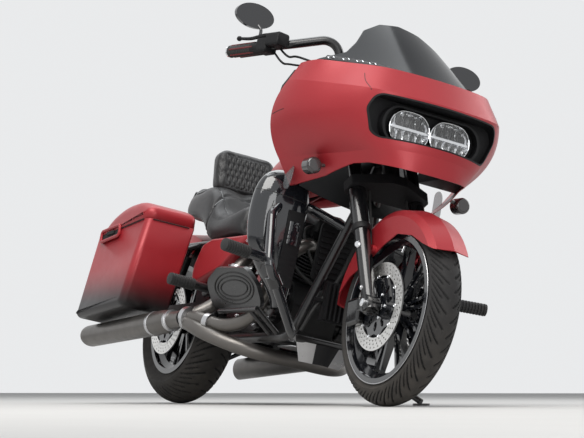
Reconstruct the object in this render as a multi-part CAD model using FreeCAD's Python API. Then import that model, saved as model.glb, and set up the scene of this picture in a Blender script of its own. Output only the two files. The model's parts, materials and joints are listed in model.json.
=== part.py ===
import FreeCAD, Part
import math
import os

# Touring cruiser motorcycle, standing parked on its side stand.
# Every piece is laid out upright first: x forward, y to the left, z up, with the
# ground contact of the rear tyre at zero. The finished pieces are then steered,
# leaned onto the stand and moved to the part's own origin.

Vector = FreeCAD.Vector
FORWARD = Vector(1, 0, 0)
LEFTWARD = Vector(0, 1, 0)
UPWARD = Vector(0, 0, 1)
ZERO = Vector(0, 0, 0)
RIGHT = -1
LEFT = 1
SIDES = {"right": RIGHT, "left": LEFT}

# Whole vehicle
wheelbase = 1625.0
rake_deg = 26.0
trail = 173.0
lean_deg = 11.2

# Clearances
slip_gap = 0.3
running_gap = 0.05
part_gap = 3.0
overrun = 6.0

# Front wheel
front_tyre_radius = 319.3
front_crown_radius = 62.0
front_bead_radius = 241.0
front_rim_width = 110.0
front_disc_radius = 150.0
front_disc_offset = 79.0
front_spokes = 9
front_hub_radius = 42.0
axle_radius = 12.5
axle_bore_radius = 7.0

# Rear wheel
rear_tyre_radius = 320.2
rear_crown_radius = 88.0
rear_bead_radius = 203.0
rear_rim_width = 136.0
rear_disc_radius = 146.0
rear_disc_offset = 98.0
rear_spokes = 9
rear_hub_radius = 50.0
pulley_radius = 148.0
pulley_width = 24.0
pulley_offset = 98.0

# Rims and tyres
tyre_wall = 9.0
rim_wall = 5.0
rim_flange = 14.0
rim_well_depth = 22.0
spoke_width = 13.0
spoke_depth = 26.0
spoke_spread_deg = 5.5
bead_seat_width = 14.0

# Brake discs
disc_thickness = 5.0
disc_band = 44.0
disc_arm_width = 15.0
disc_arms = 7
disc_boss_radius = 40.0

# Fork and steering head
fork_half_spacing = 117.0
fork_angle_deg = 29.25
slider_radius = 27.0
slider_length = 300.0
cover_radius = 31.0
fork_tube_radius = 24.5
lower_clamp_height = 760.0
upper_clamp_height = 965.0
clamp_thickness = 36.0
clamp_sweep = 74.0
fork_cap_rise = 12.0
stem_radius = 15.0
neck_radius = 30.0
neck_bottom_height = 787.0
neck_top_height = 938.0
fork_boss_radius = 30.0
fork_boss_width = 46.0

# Handlebar
bar_radius = 16.0
bar_grip_radius = 18.5
bar_riser_radius = 17.0
bar_riser_half_spacing = 48.0
bar_bend_radius = 55.0
bar_bend_place = Vector(1205.0, 200.0, 1268.0)
bar_elbow_place = Vector(1140.0, 330.0, 1222.0)
grip_inner_place = Vector(1068.0, 400.0, 1202.0)
grip_outer_place = Vector(895.0, 450.0, 1194.0)
mirror_place = Vector(1000.0, 440.0, 1312.0)
mirror_half_width = 75.0
mirror_half_height = 44.0
mirror_thickness = 26.0
mirror_stem_radius = 6.0

# Front fender
fender_gap = 21.0
fender_sheet = 4.0
front_fender_half_width = 76.0
fender_boss_share = 0.76

# Frame
frame_tube_radius = 17.0
backbone_radius = 24.0
cradle_height = 215.0
cradle_half_width = 142.0
rail_height = 585.0
rail_half_width = 147.0
rail_radius = 14.0
swing_pivot = Vector(430.0, 0, 330.0)
pivot_radius = 28.0

# Engine
crank_place = Vector(880.0, 0, 345.0)
case_half_width = 92.0
cylinder_angle_deg = 22.5
cylinder_base = 118.0
barrel_radius = 62.0
fin_radius = 88.0
fin_count = 9
fin_thickness = 3.0
barrel_length = 108.0
head_length = 66.0
head_half_width = 84.0
head_half_length = 74.0
rocker_length = 70.0
rocker_half_width = 78.0
rocker_half_length = 62.0
rocker_rounding = 22.0

# Engine covers, belt and intake
primary_front_x = 1010.0
primary_rear_x = 560.0
primary_front_radius = 95.0
primary_rear_radius = 108.0
primary_depth = 62.0
derby_radius = 78.0
derby_depth = 12.0
cam_cover_place = Vector(905.0, 0, 372.0)
cam_cover_radius = 98.0
cam_cover_depth = 46.0
cam_dome_radius = 62.0
cam_dome_depth = 12.0
pushrod_radius = 11.0
transmission_rear_x = 520.0
air_cleaner_place = Vector(880.0, -150.0, 596.0)
air_cleaner_radius = 82.0
air_cleaner_depth = 62.0
output_pulley_radius = 68.0
belt_thickness = 6.0

# Exhaust
header_radius = 24.0
muffler_radius = 51.0
muffler_wall = 3.0
muffler_front = Vector(560.0, 330.0, 250.0)
muffler_rear = Vector(-188.0, 330.0, 205.0)
collector_radius = 38.0
crossover_radius = 27.0

# Fairing
fairing_rear_x = 1200.0
fairing_length = 515.0
fairing_half_width = 410.0
fairing_base_z = 700.0
fairing_height = 440.0
fairing_wall = 4.0
opening_low_z = 866.0
opening_high_z = 1014.0
opening_low_half = 222.0
opening_high_half = 238.0
opening_middle_half = 256.0
opening_middle_z = 962.0
opening_corner = 46.0
bezel_wall = 5.0
bezel_back_x = 1558.0
bezel_floor_x = 1600.0
bezel_front_x = 1634.0
bezel_half_length = 193.0
bezel_half_height = 66.0
lamp_half_length = 78.0
lamp_half_height = 60.0
lamp_half_spacing = 80.0
lamp_height = 928.0
lamp_depth = 30.0
signal_place = Vector(1392.0, 300.0, 768.0)
signal_radius = 29.0
signal_length = 46.0
signal_stalk_radius = 7.0

# Windshield
screen_thickness = 4.0
screen_base_z = 1096.0
screen_base_x = 1630.0
screen_height = 262.0
screen_rake = 365.0
screen_half_width = 335.0
screen_corner = 36.0

# Dash behind the fairing
dash_face_x = 1372.0
dash_depth = 60.0
dash_notch_half = 185.0
dash_notch_z = 960.0
pod_rear_x = 1262.0
deck_thickness = 12.0
pod_floor_z = 835.0
gauge_radius = 52.0
gauge_half_spacing = 66.0
gauge_height = 1035.0

# Tank and seat
tank_rear_x = 610.0
tank_length = 564.0
tank_half_width = 165.0
tank_base_z = 752.0
tank_height = 200.0
seat_rear_x = 35.0
seat_length = 665.0
seat_half_width = 175.0
seat_base_z = 594.0
seat_height = 241.0
backrest_place = Vector(252.0, 0, 806.0)
backrest_half_width = 122.0
backrest_height = 176.0
backrest_thickness = 62.0
backrest_tilt_deg = 12.0

# Side covers
cover_low_x = 356.0
cover_length = 440.0
cover_low_z = 421.0
cover_height = 168.0
cover_outer_y = 208.0

# Rear fender and lamps
rear_fender_half_width = 108.0
rear_fender_gap = 30.0

# Saddlebags
bag_rear_x = -146.0
bag_length = 546.0
bag_base_z = 242.0
bag_height = 456.0
bag_inner_y = 236.0
bag_outer_y = 440.0
bag_wall = 4.0
bag_corner = 34.0
bag_seam_gap = 0.35
tunnel_gap = 12.0

# Lower fairings and engine guard
shield_base_z = 300.0
shield_height = 476.0
shield_rear_x = 1080.0
shield_depth = 108.0
shield_inner_y = 160.0
shield_span = 214.0
guard_radius = 17.0
highway_peg_inner = Vector(1262.0, 352.0, 442.0)
highway_peg_outer = Vector(1302.0, 526.0, 447.0)
peg_radius = 19.0
passenger_peg_inner = Vector(600.0, 222.0, 385.0)
passenger_peg_outer = Vector(609.0, 395.0, 388.0)

# Floorboards
board_length = 385.0
board_width = 160.0
board_thickness = 16.0
board_rear_x = 722.0
board_hinge_y = 248.0
board_height = 292.0

# Swingarm, shocks and belt side
arm_centre_y = 147.0
arm_width = 26.0
arm_height = 62.0
arm_tip = 42.0
shock_low = Vector(80.0, 147.0, 372.0)
shock_high = Vector(176.0, 147.0, 570.0)
shock_radius = 24.0

# Side stand
stand_pivot = Vector(1100.0, 192.0, 192.0)
stand_leg_radius = 11.0
stand_foot_x = 1290.0
stand_foot_y = 338.0
stand_foot_radius = 30.0
stand_foot_thickness = 8.0

# Oil cooler
cooler_half_width = 72.0
cooler_depth = 34.0
cooler_low_z = 285.0
cooler_height = 140.0
cooler_front_x = 1226.0
cooler_fins = 8

# Places and small sizes of the steering parts
bar_low_place = Vector(1262.0, 95.0, 1098.0)
bar_rise_place = Vector(1240.0, 150.0, 1112.0)
switch_length = 44.0
switch_radius = 23.0
fluid_box_size = 42.0
lever_reach = 42.0
lever_length = 150.0
lever_radius = 5.5
caliper_length = 92.0
caliper_width = 58.0
caliper_depth = 62.0
caliper_back_deg = 98.0
lug_radius = 9.0
rear_caliper_deg = 20.0
spacer_share = 1.6

# Places and small sizes of the frame
spine_front_height = 868.0
spine_middle = Vector(1130.0, 0, 832.0)
spine_rear = Vector(738.0, 0, 758.0)
spine_foot = Vector(628.0, 0, 640.0)
down_top_x = 1300.0
down_knee = Vector(1285.0, 24.0, 735.0)
cradle_front = Vector(1146.0, cradle_half_width, cradle_height)
cradle_rear = Vector(500.0, cradle_half_width, cradle_height)
cradle_top = Vector(492.0, cradle_half_width, rail_height - 60.0)
rail_rear = Vector(-198.0, rail_half_width, rail_height)
rail_front = Vector(430.0, rail_half_width, rail_height)
rail_meet = Vector(623.0, 18.0, 656.0)
plate_bar_place = Vector(482.0, 0, 262.0)
pivot_plate_length = 120.0
pivot_plate_height = 230.0
pivot_plate_thickness = 10.0
pivot_plate_shares = [(-0.40, 0.10), (0.45, 0.10), (0.55, 0.75), (0.15, 1.0), (-0.45, 0.85)]
fender_post_reach = 118.0
bag_post_rear_x = 10.0
bag_post_front_x = 290.0
bag_post_drop = 52.0
fairing_arm_height = 868.0
fairing_arm_half = 22.0

plate_inner_y = arm_centre_y + arm_width / 2 + part_gap
plate_outer_y = plate_inner_y + pivot_plate_thickness
pivot_bolt_radius = 10.0
mount_places = [640.0, 980.0]
mount_half_width = 60.0

# Small sizes of the engine and exhaust
case_nose = 26.0
case_bottom_z = 240.0
case_rounding = 24.0
head_fins = 6
primary_rounding = 16.0
primary_neck_radius = 88.0
pushrod_half_spacing = 20.0
intake_radius = 19.0
pushrod_y = 108.0
pushrod_block_depth = 40.0
output_place = Vector(560.0, 0, 350.0)
collector_place = Vector(690.0, 305.0, 262.0)
front_header_route = [
    Vector(1020.0, -40.0, 560.0), Vector(1078.0, -116.0, 546.0), Vector(1040.0, -192.0, 430.0),
    Vector(945.0, -204.0, 268.0), Vector(830.0, -250.0, 236.0), Vector(690.0, -305.0, 262.0),
]
rear_header_route = [
    Vector(748.0, -40.0, 560.0), Vector(688.0, -100.0, 552.0), Vector(700.0, -190.0, 450.0),
    Vector(690.0, -218.0, 335.0), Vector(640.0, -314.0, 257.0),
]
crossover_route = [
    Vector(640.0, -322.0, 246.0), Vector(780.0, -285.0, 196.0), Vector(920.0, -150.0, 160.0),
    Vector(920.0, 150.0, 160.0), Vector(780.0, 285.0, 196.0), Vector(640.0, 322.0, 246.0),
]
muffler_mouth = 90.0
muffler_slash_deg = 35.0
cooler_hanger = 16.0
cooler_hang_reach = 106.0

# Screen shares: rise, run and width of its levels, its plan curve, and its outline in front view
screen_wrap = 240.0
screen_slant_share = 1.8
screen_level_shares = [(-0.12, -0.12, 1.06), (0.35, 0.36, 0.92), (0.75, 0.74, 0.80), (1.1, 1.08, 0.70)]
screen_plan_shares = [(0.0, 0.0), (0.30, 0.06), (0.62, 0.30), (0.85, 0.66), (1.0, 1.0)]
screen_front_shares = [
    (1.0, 0.0), (0.98, 0.18), (0.72, 0.34), (0.58, 0.54), (0.44, 0.78), (0.24, 0.94), (0.0, 1.0),
]

# Rear places
tail_lamp_deg = 141.0
tail_lamp_depth = 26.0
tail_lamp_half_width = 46.0
tail_lamp_half_height = 30.0
tail_signal_y = 132.0
cover_inner_y = plate_outer_y + slip_gap
seat_room_rear_x = 628.0
seat_room_half = 104.0
seat_room_top_z = 716.0
board_raised_deg = 62.0
guard_route = [
    Vector(1146.0, 132.0, 215.0), Vector(1212.0, 176.0, 222.0), Vector(1292.0, 345.0, 420.0),
    Vector(1196.0, 320.0, 610.0), Vector(1140.0, 250.0, 690.0),
    Vector(1150.0, 150.0, 668.0), Vector(1250.0, 52.0, 612.0),
]
stand_pin_radius = 6.0
stand_folded_place = Vector(790.0, 236.0, 262.0)

# Shares of a size, used as outline points and tables of places
corner_reach_share = 0.47
crown_half_share = 0.97
full_turn = 360.0
quarter_turn = 90.0

# Fairing levels: front height and rear height as shares of the height, then the
# rear, flank, cheek, corner and nose places as shares of the length and half width
fairing_edge_shares = (
    0.118, 0.005, (0.0, 0.64), (0.25, 0.56), (0.49, 0.50), (0.72, 0.40), (0.92, 0.285), (0.967, 0.0),
)
fairing_fold_shares = (
    0.314, 0.223, (0.02, 0.83), (0.22, 0.745), (0.42, 0.66),
    (0.70, 0.53), (0.835, 0.47), (0.91, 0.36), (0.985, 0.0),
)
fairing_widest_shares = (
    0.511, 0.536, (0.05, 0.99), (0.35, 0.92), (0.58, 0.80),
    (0.757, 0.655), (0.855, 0.54), (0.93, 0.37), (0.995, 0.0),
)
fairing_crease_shares = (
    0.727, 0.823, (0.20, 0.98), (0.40, 0.925), (0.60, 0.80),
    (0.75, 0.70), (0.86, 0.58), (0.925, 0.38), (0.965, 0.0),
)
fairing_top_shares = (
    0.936, 1.0, (0.24, 0.90), (0.42, 0.84), (0.535, 0.74),
    (0.665, 0.62), (0.765, 0.51), (0.83, 0.30), (0.855, 0.0),
)
fairing_side_shares = [
    (-0.1, 0.93), (0.24, 0.952), (0.39, 0.970), (0.535, 0.982),
    (0.70, 0.968), (0.78, 0.93), (0.87, 0.90), (1.05, 0.87),
    (1.05, 0.157), (0.92, 0.178), (0.74, 0.204), (0.61, 0.198),
    (0.52, 0.168), (0.355, 0.11), (0.0, 0.045), (-0.1, 0.03),
]


def at(place, size, shares):
    """Points that lie at shares of a size, counted from a place."""
    return [place + Vector(size.x * x, size.y * y, size.z * z) for x, y, z in shares]


def outline(place, length, height, shares):
    """Points of a side view, at shares of a length and a height."""
    return [place + Vector(length * x, 0, height * z) for x, z in shares]


def mirrored(shape):
    return shape.mirror(ZERO, LEFTWARD)


def on_side(shape, side):
    """A piece drawn for the left side, put on the wanted side."""
    return shape if side == LEFT else mirrored(shape)


def pair(shape):
    return Part.makeCompound([shape, mirrored(shape)])


def fused(shapes):
    return shapes[0].multiFuse(shapes[1:]).removeSplitter()


def carried(piece, *carriers):
    """A piece trimmed where it meets what carries it, face to face."""
    for carrier in carriers:
        piece = piece.cut(carrier)
    return max(piece.Solids, key=lambda solid: solid.Volume)


def sideways(place, offset):
    return Vector(place.x, offset, place.z)


def cylinder(radius, start, end):
    return Part.makeCylinder(radius, (end - start).Length, start, end - start)


def sleeve(outer, inner, start, end):
    return cylinder(outer, start, end).cut(cylinder(inner, start, end))


def block(low, high):
    size = high - low
    return Part.makeBox(size.x, size.y, size.z, low)


def rounded_wire(points, radius, closed=True):
    """A run of straight lines joined by arcs tangent to them."""
    count = len(points)
    turns = []
    for index, corner in enumerate(points):
        if not closed and index in (0, count - 1):
            turns.append((corner, corner, corner))
            continue
        back = points[index - 1] - corner
        ahead = points[(index + 1) % count] - corner
        half = back.getAngle(ahead) / 2
        room = corner_reach_share * min(back.Length, ahead.Length)
        reach = min(radius / math.tan(half), room)
        rounding = reach * math.tan(half)
        back.normalize()
        ahead.normalize()
        middle = (back + ahead).normalize() * (rounding / math.sin(half) - rounding)
        turns.append((corner + back * reach, corner + middle, corner + ahead * reach))
    edges = []
    for index, (start, middle, end) in enumerate(turns):
        if start != end:
            edges.append(Part.Arc(start, middle, end).toShape())
        if index < count - 1 or closed:
            following = turns[(index + 1) % count][0]
            edges.append(Part.makeLine(end, following))
    return Part.Wire(edges)


def tube(points, radius, bend):
    """A round bar along straight runs and tangent arcs."""
    path = rounded_wire(points, bend, closed=False)
    ring = Part.Wire(Part.makeCircle(radius, points[0], points[1] - points[0]))
    return path.makePipeShell([ring], True, True)


def plate(points, low_y, high_y, radius):
    """A side-view outline, as thick as the space between two places across."""
    moved = [sideways(point, low_y) for point in points]
    return Part.Face(rounded_wire(moved, radius)).extrude(Vector(0, high_y - low_y, 0))


def loop(points):
    curve = Part.BSplineCurve()
    curve.interpolate(points, PeriodicFlag=True)
    return Part.Wire(curve.toShape())


def smooth_edge(points):
    curve = Part.BSplineCurve()
    curve.interpolate(points)
    return curve.toShape()


def spun(profile, centre):
    """A ring about a wheel's axle, from a profile of radius and side places."""
    points = [Vector(0, side, radius) for radius, side in profile]
    face = Part.Face(Part.makePolygon(points + points[:1]))
    solid = face.revolve(ZERO, LEFTWARD, full_turn)
    solid.translate(centre)
    return solid


def turned(shape, centre, degrees):
    """A piece turned about an axle that runs across the vehicle."""
    copy = shape.copy()
    copy.rotate(centre, LEFTWARD, degrees)
    return copy


front_axle = Vector(wheelbase, 0, front_tyre_radius)
rear_axle = Vector(0, 0, rear_tyre_radius)


def tyre(centre, radius, crown, bead, rim_width):
    """A tyre with a round crown, sidewalls that narrow to the bead and an open inside."""
    lean = math.asin(crown_half_share)
    heart = radius - crown
    seat = rim_width / 2 - rim_wall
    inner_crown = crown - tyre_wall
    edges = []

    def on_crown(reach, angle):
        return Vector(0, reach * math.sin(angle), heart + reach * math.cos(angle))

    outer = [on_crown(crown, -lean), on_crown(crown, 0), on_crown(crown, lean)]
    inner = [on_crown(inner_crown, lean), on_crown(inner_crown, 0), on_crown(inner_crown, -lean)]
    flange = bead + rim_flange
    right = [outer[0], Vector(0, -seat, flange), Vector(0, -seat, bead)]
    right += [Vector(0, bead_seat_width - seat, bead), inner[2]]
    left = [Vector(0, -point.y, point.z) for point in right]
    edges.append(Part.Arc(*outer).toShape())
    edges += [Part.makeLine(a, b) for a, b in zip(left[:-1], left[1:-1] + [inner[0]])]
    edges.append(Part.Arc(*inner).toShape())
    edges += [Part.makeLine(a, b) for a, b in zip(right[:0:-1], right[-2::-1])]
    face = Part.Face(Part.Wire(Part.__sortEdges__(edges)))
    solid = face.revolve(ZERO, LEFTWARD, full_turn)
    solid.translate(centre)
    return solid


def rim(centre, bead, rim_width, hub_radius, hub_half, spoke_count):
    """A cast wheel: flanged rim, paired spokes and a bored hub."""
    half = rim_width / 2
    seat = half - rim_wall
    inner_seat = seat - bead_seat_width
    well = bead - rim_well_depth
    well_half = inner_seat - rim_well_depth / 2
    band = bead - rim_wall
    right = [
        (bead + rim_flange, half), (bead + rim_flange, seat), (bead, seat),
        (bead, inner_seat), (well, well_half),
    ]
    under = [(band, half), (band, inner_seat), (well - rim_wall, well_half)]
    profile = right + [(r, -y) for r, y in reversed(right)]
    profile += [(r, -y) for r, y in under] + list(reversed(under))
    hoop = spun(profile, centre)
    hub = cylinder(hub_radius, sideways(centre, -hub_half), sideways(centre, hub_half))
    pieces = [hoop, hub]
    foot = hub_radius - rim_wall
    top = well - rim_wall / 2
    turn = full_turn / spoke_count
    for index in range(spoke_count):
        for lean in (-spoke_spread_deg, spoke_spread_deg):
            pieces.append(turned(spoke(centre, foot, top), centre, index * turn + lean))
    wheel = fused(pieces)
    bore = axle_radius + running_gap
    return wheel.cut(cylinder(bore, sideways(centre, -hub_half), sideways(centre, hub_half)))


def spoke(centre, foot, top):
    """One spoke, deep at the hub and slim at the rim."""
    wires = []
    sections = ((foot, spoke_width, spoke_depth * 1.4), (top, spoke_width * 0.8, spoke_depth * 0.7))
    for height, width, depth in sections:
        corners = [(-1, -1), (1, -1), (1, 1), (-1, 1)]
        points = [centre + Vector(x * width / 2, y * depth / 2, height) for x, y in corners]
        wires.append(Part.makePolygon(points + points[:1]))
    return Part.makeLoft(wires, True, True)


def brake_disc(centre, radius, near_y, far_y):
    """A friction ring on a slim armed carrier."""
    band = sleeve(radius, radius - disc_band, sideways(centre, near_y), sideways(centre, far_y))
    bore = axle_radius * 2
    boss = sleeve(disc_boss_radius, bore, sideways(centre, near_y), sideways(centre, far_y))
    low = Vector(
        centre.x - disc_arm_width / 2, min(near_y, far_y), centre.z + disc_boss_radius - disc_thickness,
    )
    high = Vector(
        centre.x + disc_arm_width / 2, max(near_y, far_y), centre.z + radius - disc_band + disc_thickness,
    )
    arm = block(low, high)
    arms = [turned(arm, centre, index * full_turn / disc_arms) for index in range(disc_arms)]
    return fused([band, boss] + arms)


def pulley():
    far = pulley_offset + pulley_width
    wheel = cylinder(pulley_radius, sideways(rear_axle, pulley_offset), sideways(rear_axle, far))
    return wheel.cut(cylinder(axle_radius * 2, sideways(rear_axle, pulley_offset), sideways(rear_axle, far)))


# Steering parts
rake = math.radians(rake_deg)
steer_axis = Vector(-math.sin(rake), 0, math.cos(rake))
steer_forward = Vector(math.cos(rake), 0, math.sin(rake))
fork_lean = math.radians(fork_angle_deg)
fork_axis = Vector(-math.sin(fork_lean), 0, math.cos(fork_lean))


def steer_point(height):
    return Vector(wheelbase + trail - height * math.tan(rake), 0, height)


def leg_point(distance):
    """A place on the left fork leg, at a distance above the axle."""
    return sideways(front_axle, fork_half_spacing) + fork_axis * distance


def leg_distance(height):
    """How far up the leg the clamp at a height holds it."""
    return (steer_point(height) - front_axle).dot(steer_axis) / fork_axis.dot(steer_axis)


def fork_leg():
    lower = leg_distance(lower_clamp_height)
    upper = leg_distance(upper_clamp_height)
    cover_top = lower - clamp_thickness / 2 - part_gap
    slider = cylinder(slider_radius, leg_point(-slider_radius), leg_point(slider_length))
    cover = cylinder(cover_radius, leg_point(slider_length + part_gap), leg_point(cover_top))
    inner = cylinder(fork_tube_radius, leg_point(0), leg_point(upper + clamp_thickness / 2 + fork_cap_rise))
    middle = leg_point(0)
    boss = cylinder(
        fork_boss_radius,
        sideways(middle, middle.y - fork_boss_width / 2),
        sideways(middle, middle.y + fork_boss_width / 2),
    )
    bore = cylinder(
        axle_radius + running_gap,
        sideways(middle, middle.y - fork_boss_width),
        sideways(middle, middle.y + fork_boss_width),
    )
    return fused([slider, cover, inner, boss]).cut(bore)


def clamp(height):
    """One fork clamp, square to the steering axis, bored for both legs."""
    stem = steer_point(height)
    leg = leg_point(leg_distance(height))
    back = (leg - stem).dot(steer_forward)
    grip = fork_tube_radius + clamp_thickness / 3
    places = [
        (back - grip, leg.y + grip), (back + grip, leg.y + grip), (neck_radius + grip / 2, neck_radius),
        (neck_radius + grip / 2, -neck_radius), (back + grip, -leg.y - grip), (back - grip, -leg.y - grip),
    ]
    low = stem - steer_axis * (clamp_thickness / 2)
    points = [low + steer_forward * ahead + LEFTWARD * across for ahead, across in places]
    solid = Part.Face(rounded_wire(points, grip / 2)).extrude(steer_axis * clamp_thickness)
    start = leg_distance(height) - clamp_thickness * 2
    end = leg_distance(height) + clamp_thickness * 2
    bore = cylinder(fork_tube_radius + running_gap, leg_point(start), leg_point(end))
    return solid.cut(bore).cut(mirrored(bore))


def triple_clamps():
    stem = cylinder(stem_radius, steer_point(lower_clamp_height), steer_point(upper_clamp_height))
    return fused([clamp(lower_clamp_height), clamp(upper_clamp_height), stem])


def clamp_room():
    """The space behind the dash that the upper clamp sweeps as it steers."""
    stem = steer_point(upper_clamp_height)
    reach = fork_half_spacing + clamp_thickness * 1.2
    low = stem - steer_axis * (clamp_thickness / 2 + overrun)
    points = [
        low + steer_forward * ahead + LEFTWARD * across for ahead, across in (
            (-reach, -reach), (-reach, reach), (clamp_sweep, reach), (clamp_sweep, -reach),
        )
    ]
    depth = clamp_thickness + fork_cap_rise + overrun * 2
    return Part.Face(Part.makePolygon(points + points[:1])).extrude(steer_axis * depth)


def riser_foot():
    top = steer_point(upper_clamp_height) + steer_axis * (clamp_thickness / 2)
    return sideways(top, bar_riser_half_spacing)


def handlebar():
    """A tall bar with two bends a side, on two risers."""
    foot = riser_foot()
    low = bar_low_place
    left = [low, bar_rise_place, bar_bend_place, bar_elbow_place, grip_inner_place]
    half = tube([sideways(low, 0)] + [low] + left[1:], bar_radius, bar_bend_radius)
    end = grip_outer_place
    grip_bar = cylinder(axle_radius, grip_inner_place, end)
    joint = Part.makeSphere(bar_radius, grip_inner_place)
    riser = cylinder(bar_riser_radius, foot, sideways(low, bar_riser_half_spacing))
    side = [half, grip_bar, joint, riser]
    return fused(side + [mirrored(shape) for shape in side])


def hand_control():
    """Grip, switch housing, fluid box and lever of the left hand."""
    along = grip_outer_place - grip_inner_place
    along.normalize()
    start = grip_inner_place + along * bar_radius
    housing_end = start + along * switch_length
    grip = cylinder(bar_grip_radius, start, grip_outer_place)
    housing = cylinder(switch_radius, start, housing_end)
    box_low = start + Vector(-switch_radius / 2, -switch_radius, switch_radius / 2)
    box = block(box_low, box_low + Vector(fluid_box_size, fluid_box_size, fluid_box_size * 0.6))
    ahead = along.cross(UPWARD) * -1
    ahead.normalize()
    pivot = start + along * (switch_length / 2) + ahead * (switch_radius * 0.7)
    knuckle = pivot + ahead * lever_reach
    lever = tube([pivot, knuckle, knuckle + along * lever_length], lever_radius, lever_reach / 2)
    bar_room = cylinder(
        axle_radius + running_gap, start - along * bar_radius, grip_outer_place + along * overrun,
    )
    mirror_foot = housing_end - along * (switch_length / 2)
    return fused([grip, housing, box, lever]).cut(bar_room), mirror_foot


def mirror():
    """A mirror head on a thin stem that rises from the switch housing."""
    foot = hand_control()[1] + UPWARD * (switch_radius + slip_gap)
    head = mirror_place
    stem = tube([foot, foot + UPWARD * mirror_half_height, head], mirror_stem_radius, bar_radius)
    ellipse = Part.Ellipse(ZERO, mirror_half_width, mirror_half_height).toShape()
    face = Part.Face(Part.Wire(ellipse))
    face.rotate(ZERO, FORWARD, quarter_turn)
    face.rotate(ZERO, UPWARD, quarter_turn)
    face.translate(head)
    shell = face.extrude(FORWARD * mirror_thickness)
    rims = [edge for edge in shell.Edges if edge.isClosed() or edge.Length > mirror_thickness * 2]
    shell = shell.makeFillet(mirror_thickness * 0.45, [rims[0]]) if rims else shell
    return fused([stem, shell])


def polar(centre, radius_share, degrees, unit):
    angle = math.radians(degrees)
    return centre + Vector(math.cos(angle), 0, math.sin(angle)) * (radius_share * unit)


fender_skirt_shares = [
    (34, 1.25), (34, 1.03), (46, 0.90), (62, 0.84), (84, 0.78), (104, 0.69), (122, 0.66),
    (140, 0.72), (156, 0.86), (172, 1.00), (178, 1.06), (178, 1.25), (150, 1.30), (120, 1.30), (90, 1.30),
    (60, 1.30),
]


def fender_band(inner, half_width, depth, sheet):
    """The cross-section of a fender: a round crown with straight sides."""
    outer = inner + sheet
    crown = half_width * 0.45

    def arch(half, top):
        return [
            (top - depth, half), (top - crown, half), (top - crown * 0.35, half * 0.80), (top, 0.0),
        ]

    outside = arch(half_width, outer)
    inside = arch(half_width - sheet, inner)
    profile = outside + [(r, -y) for r, y in reversed(outside[:-1])]
    profile += [(r, -y) for r, y in inside[:-1]] + list(reversed(inside))
    return profile


def fender(centre, tyre_radius, gap, half_width, depth, sheet):
    inner = tyre_radius + gap
    return spun(fender_band(inner, half_width, depth, sheet), centre)


def front_fender():
    ring = fender(
        front_axle, front_tyre_radius, fender_gap,
        front_fender_half_width, front_tyre_radius * 0.42, fender_sheet,
    )
    points = [polar(front_axle, share, degrees, front_tyre_radius) for degrees, share in fender_skirt_shares]
    keep = plate(points, -front_fender_half_width, front_fender_half_width, fender_gap)
    shell = ring.common(keep)
    seat = leg_point(slider_length * fender_boss_share)
    inner = fork_half_spacing - slider_radius
    boss = cylinder(
        bar_radius, sideways(seat, front_fender_half_width - fender_sheet), sideways(seat, inner - slip_gap),
    )
    return fused([shell, boss, mirrored(boss)])


def front_axle_piece():
    reach = fork_half_spacing + fork_boss_width * 0.62
    pin = cylinder(axle_radius, sideways(front_axle, -reach), sideways(front_axle, reach))
    near = front_disc_offset + disc_thickness + slip_gap
    far = fork_half_spacing - slider_radius - slip_gap
    spacer = cylinder(axle_radius * spacer_share, sideways(front_axle, near), sideways(front_axle, far))
    hollow = cylinder(axle_bore_radius, sideways(front_axle, -reach), sideways(front_axle, reach))
    return fused([pin, spacer, mirrored(spacer)]).cut(hollow)


def caliper(centre, disc_radius, disc_y, thickness, degrees):
    """A fixed caliper that straddles the disc, with a slot for it."""
    low = Vector(
        centre.x - caliper_length / 2, disc_y - caliper_width / 2, centre.z + disc_radius - caliper_depth,
    )
    high = Vector(
        centre.x + caliper_length / 2, disc_y + caliper_width / 2,
        centre.z + disc_radius + caliper_depth * 0.35,
    )
    body = block(low, high)
    body = body.makeFillet(caliper_width * 0.2, body.Edges)
    gap = thickness / 2 + part_gap
    slot = cylinder(
        disc_radius + part_gap * 2, sideways(centre, disc_y - gap), sideways(centre, disc_y + gap),
    )
    return turned(body.cut(slot), centre, -degrees)


def front_caliper():
    """The left caliper, hung behind its fork leg by a lug."""
    middle = front_disc_offset + disc_thickness / 2
    body = caliper(front_axle, front_disc_radius, middle, disc_thickness, caliper_back_deg)
    lug_y = middle + caliper_width / 2 - lug_radius
    near = polar(front_axle, fork_boss_radius + slip_gap, quarter_turn + caliper_back_deg, 1)
    far = polar(front_axle, front_disc_radius - caliper_depth * 0.6, quarter_turn + caliper_back_deg, 1)
    lug = cylinder(lug_radius, sideways(near, lug_y), sideways(far, lug_y))
    return fused([body, lug])


def rear_caliper():
    middle = -rear_disc_offset - disc_thickness / 2
    body = caliper(rear_axle, rear_disc_radius, middle, disc_thickness, rear_caliper_deg)
    lug_y = middle - caliper_width / 2 + lug_radius
    near = polar(rear_axle, axle_radius * spacer_share + slip_gap, quarter_turn + rear_caliper_deg, 1)
    far = polar(rear_axle, rear_disc_radius - caliper_depth * 0.6, quarter_turn + rear_caliper_deg, 1)
    lug = cylinder(lug_radius, sideways(near, lug_y), sideways(far, lug_y))
    return fused([body, lug])


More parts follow.
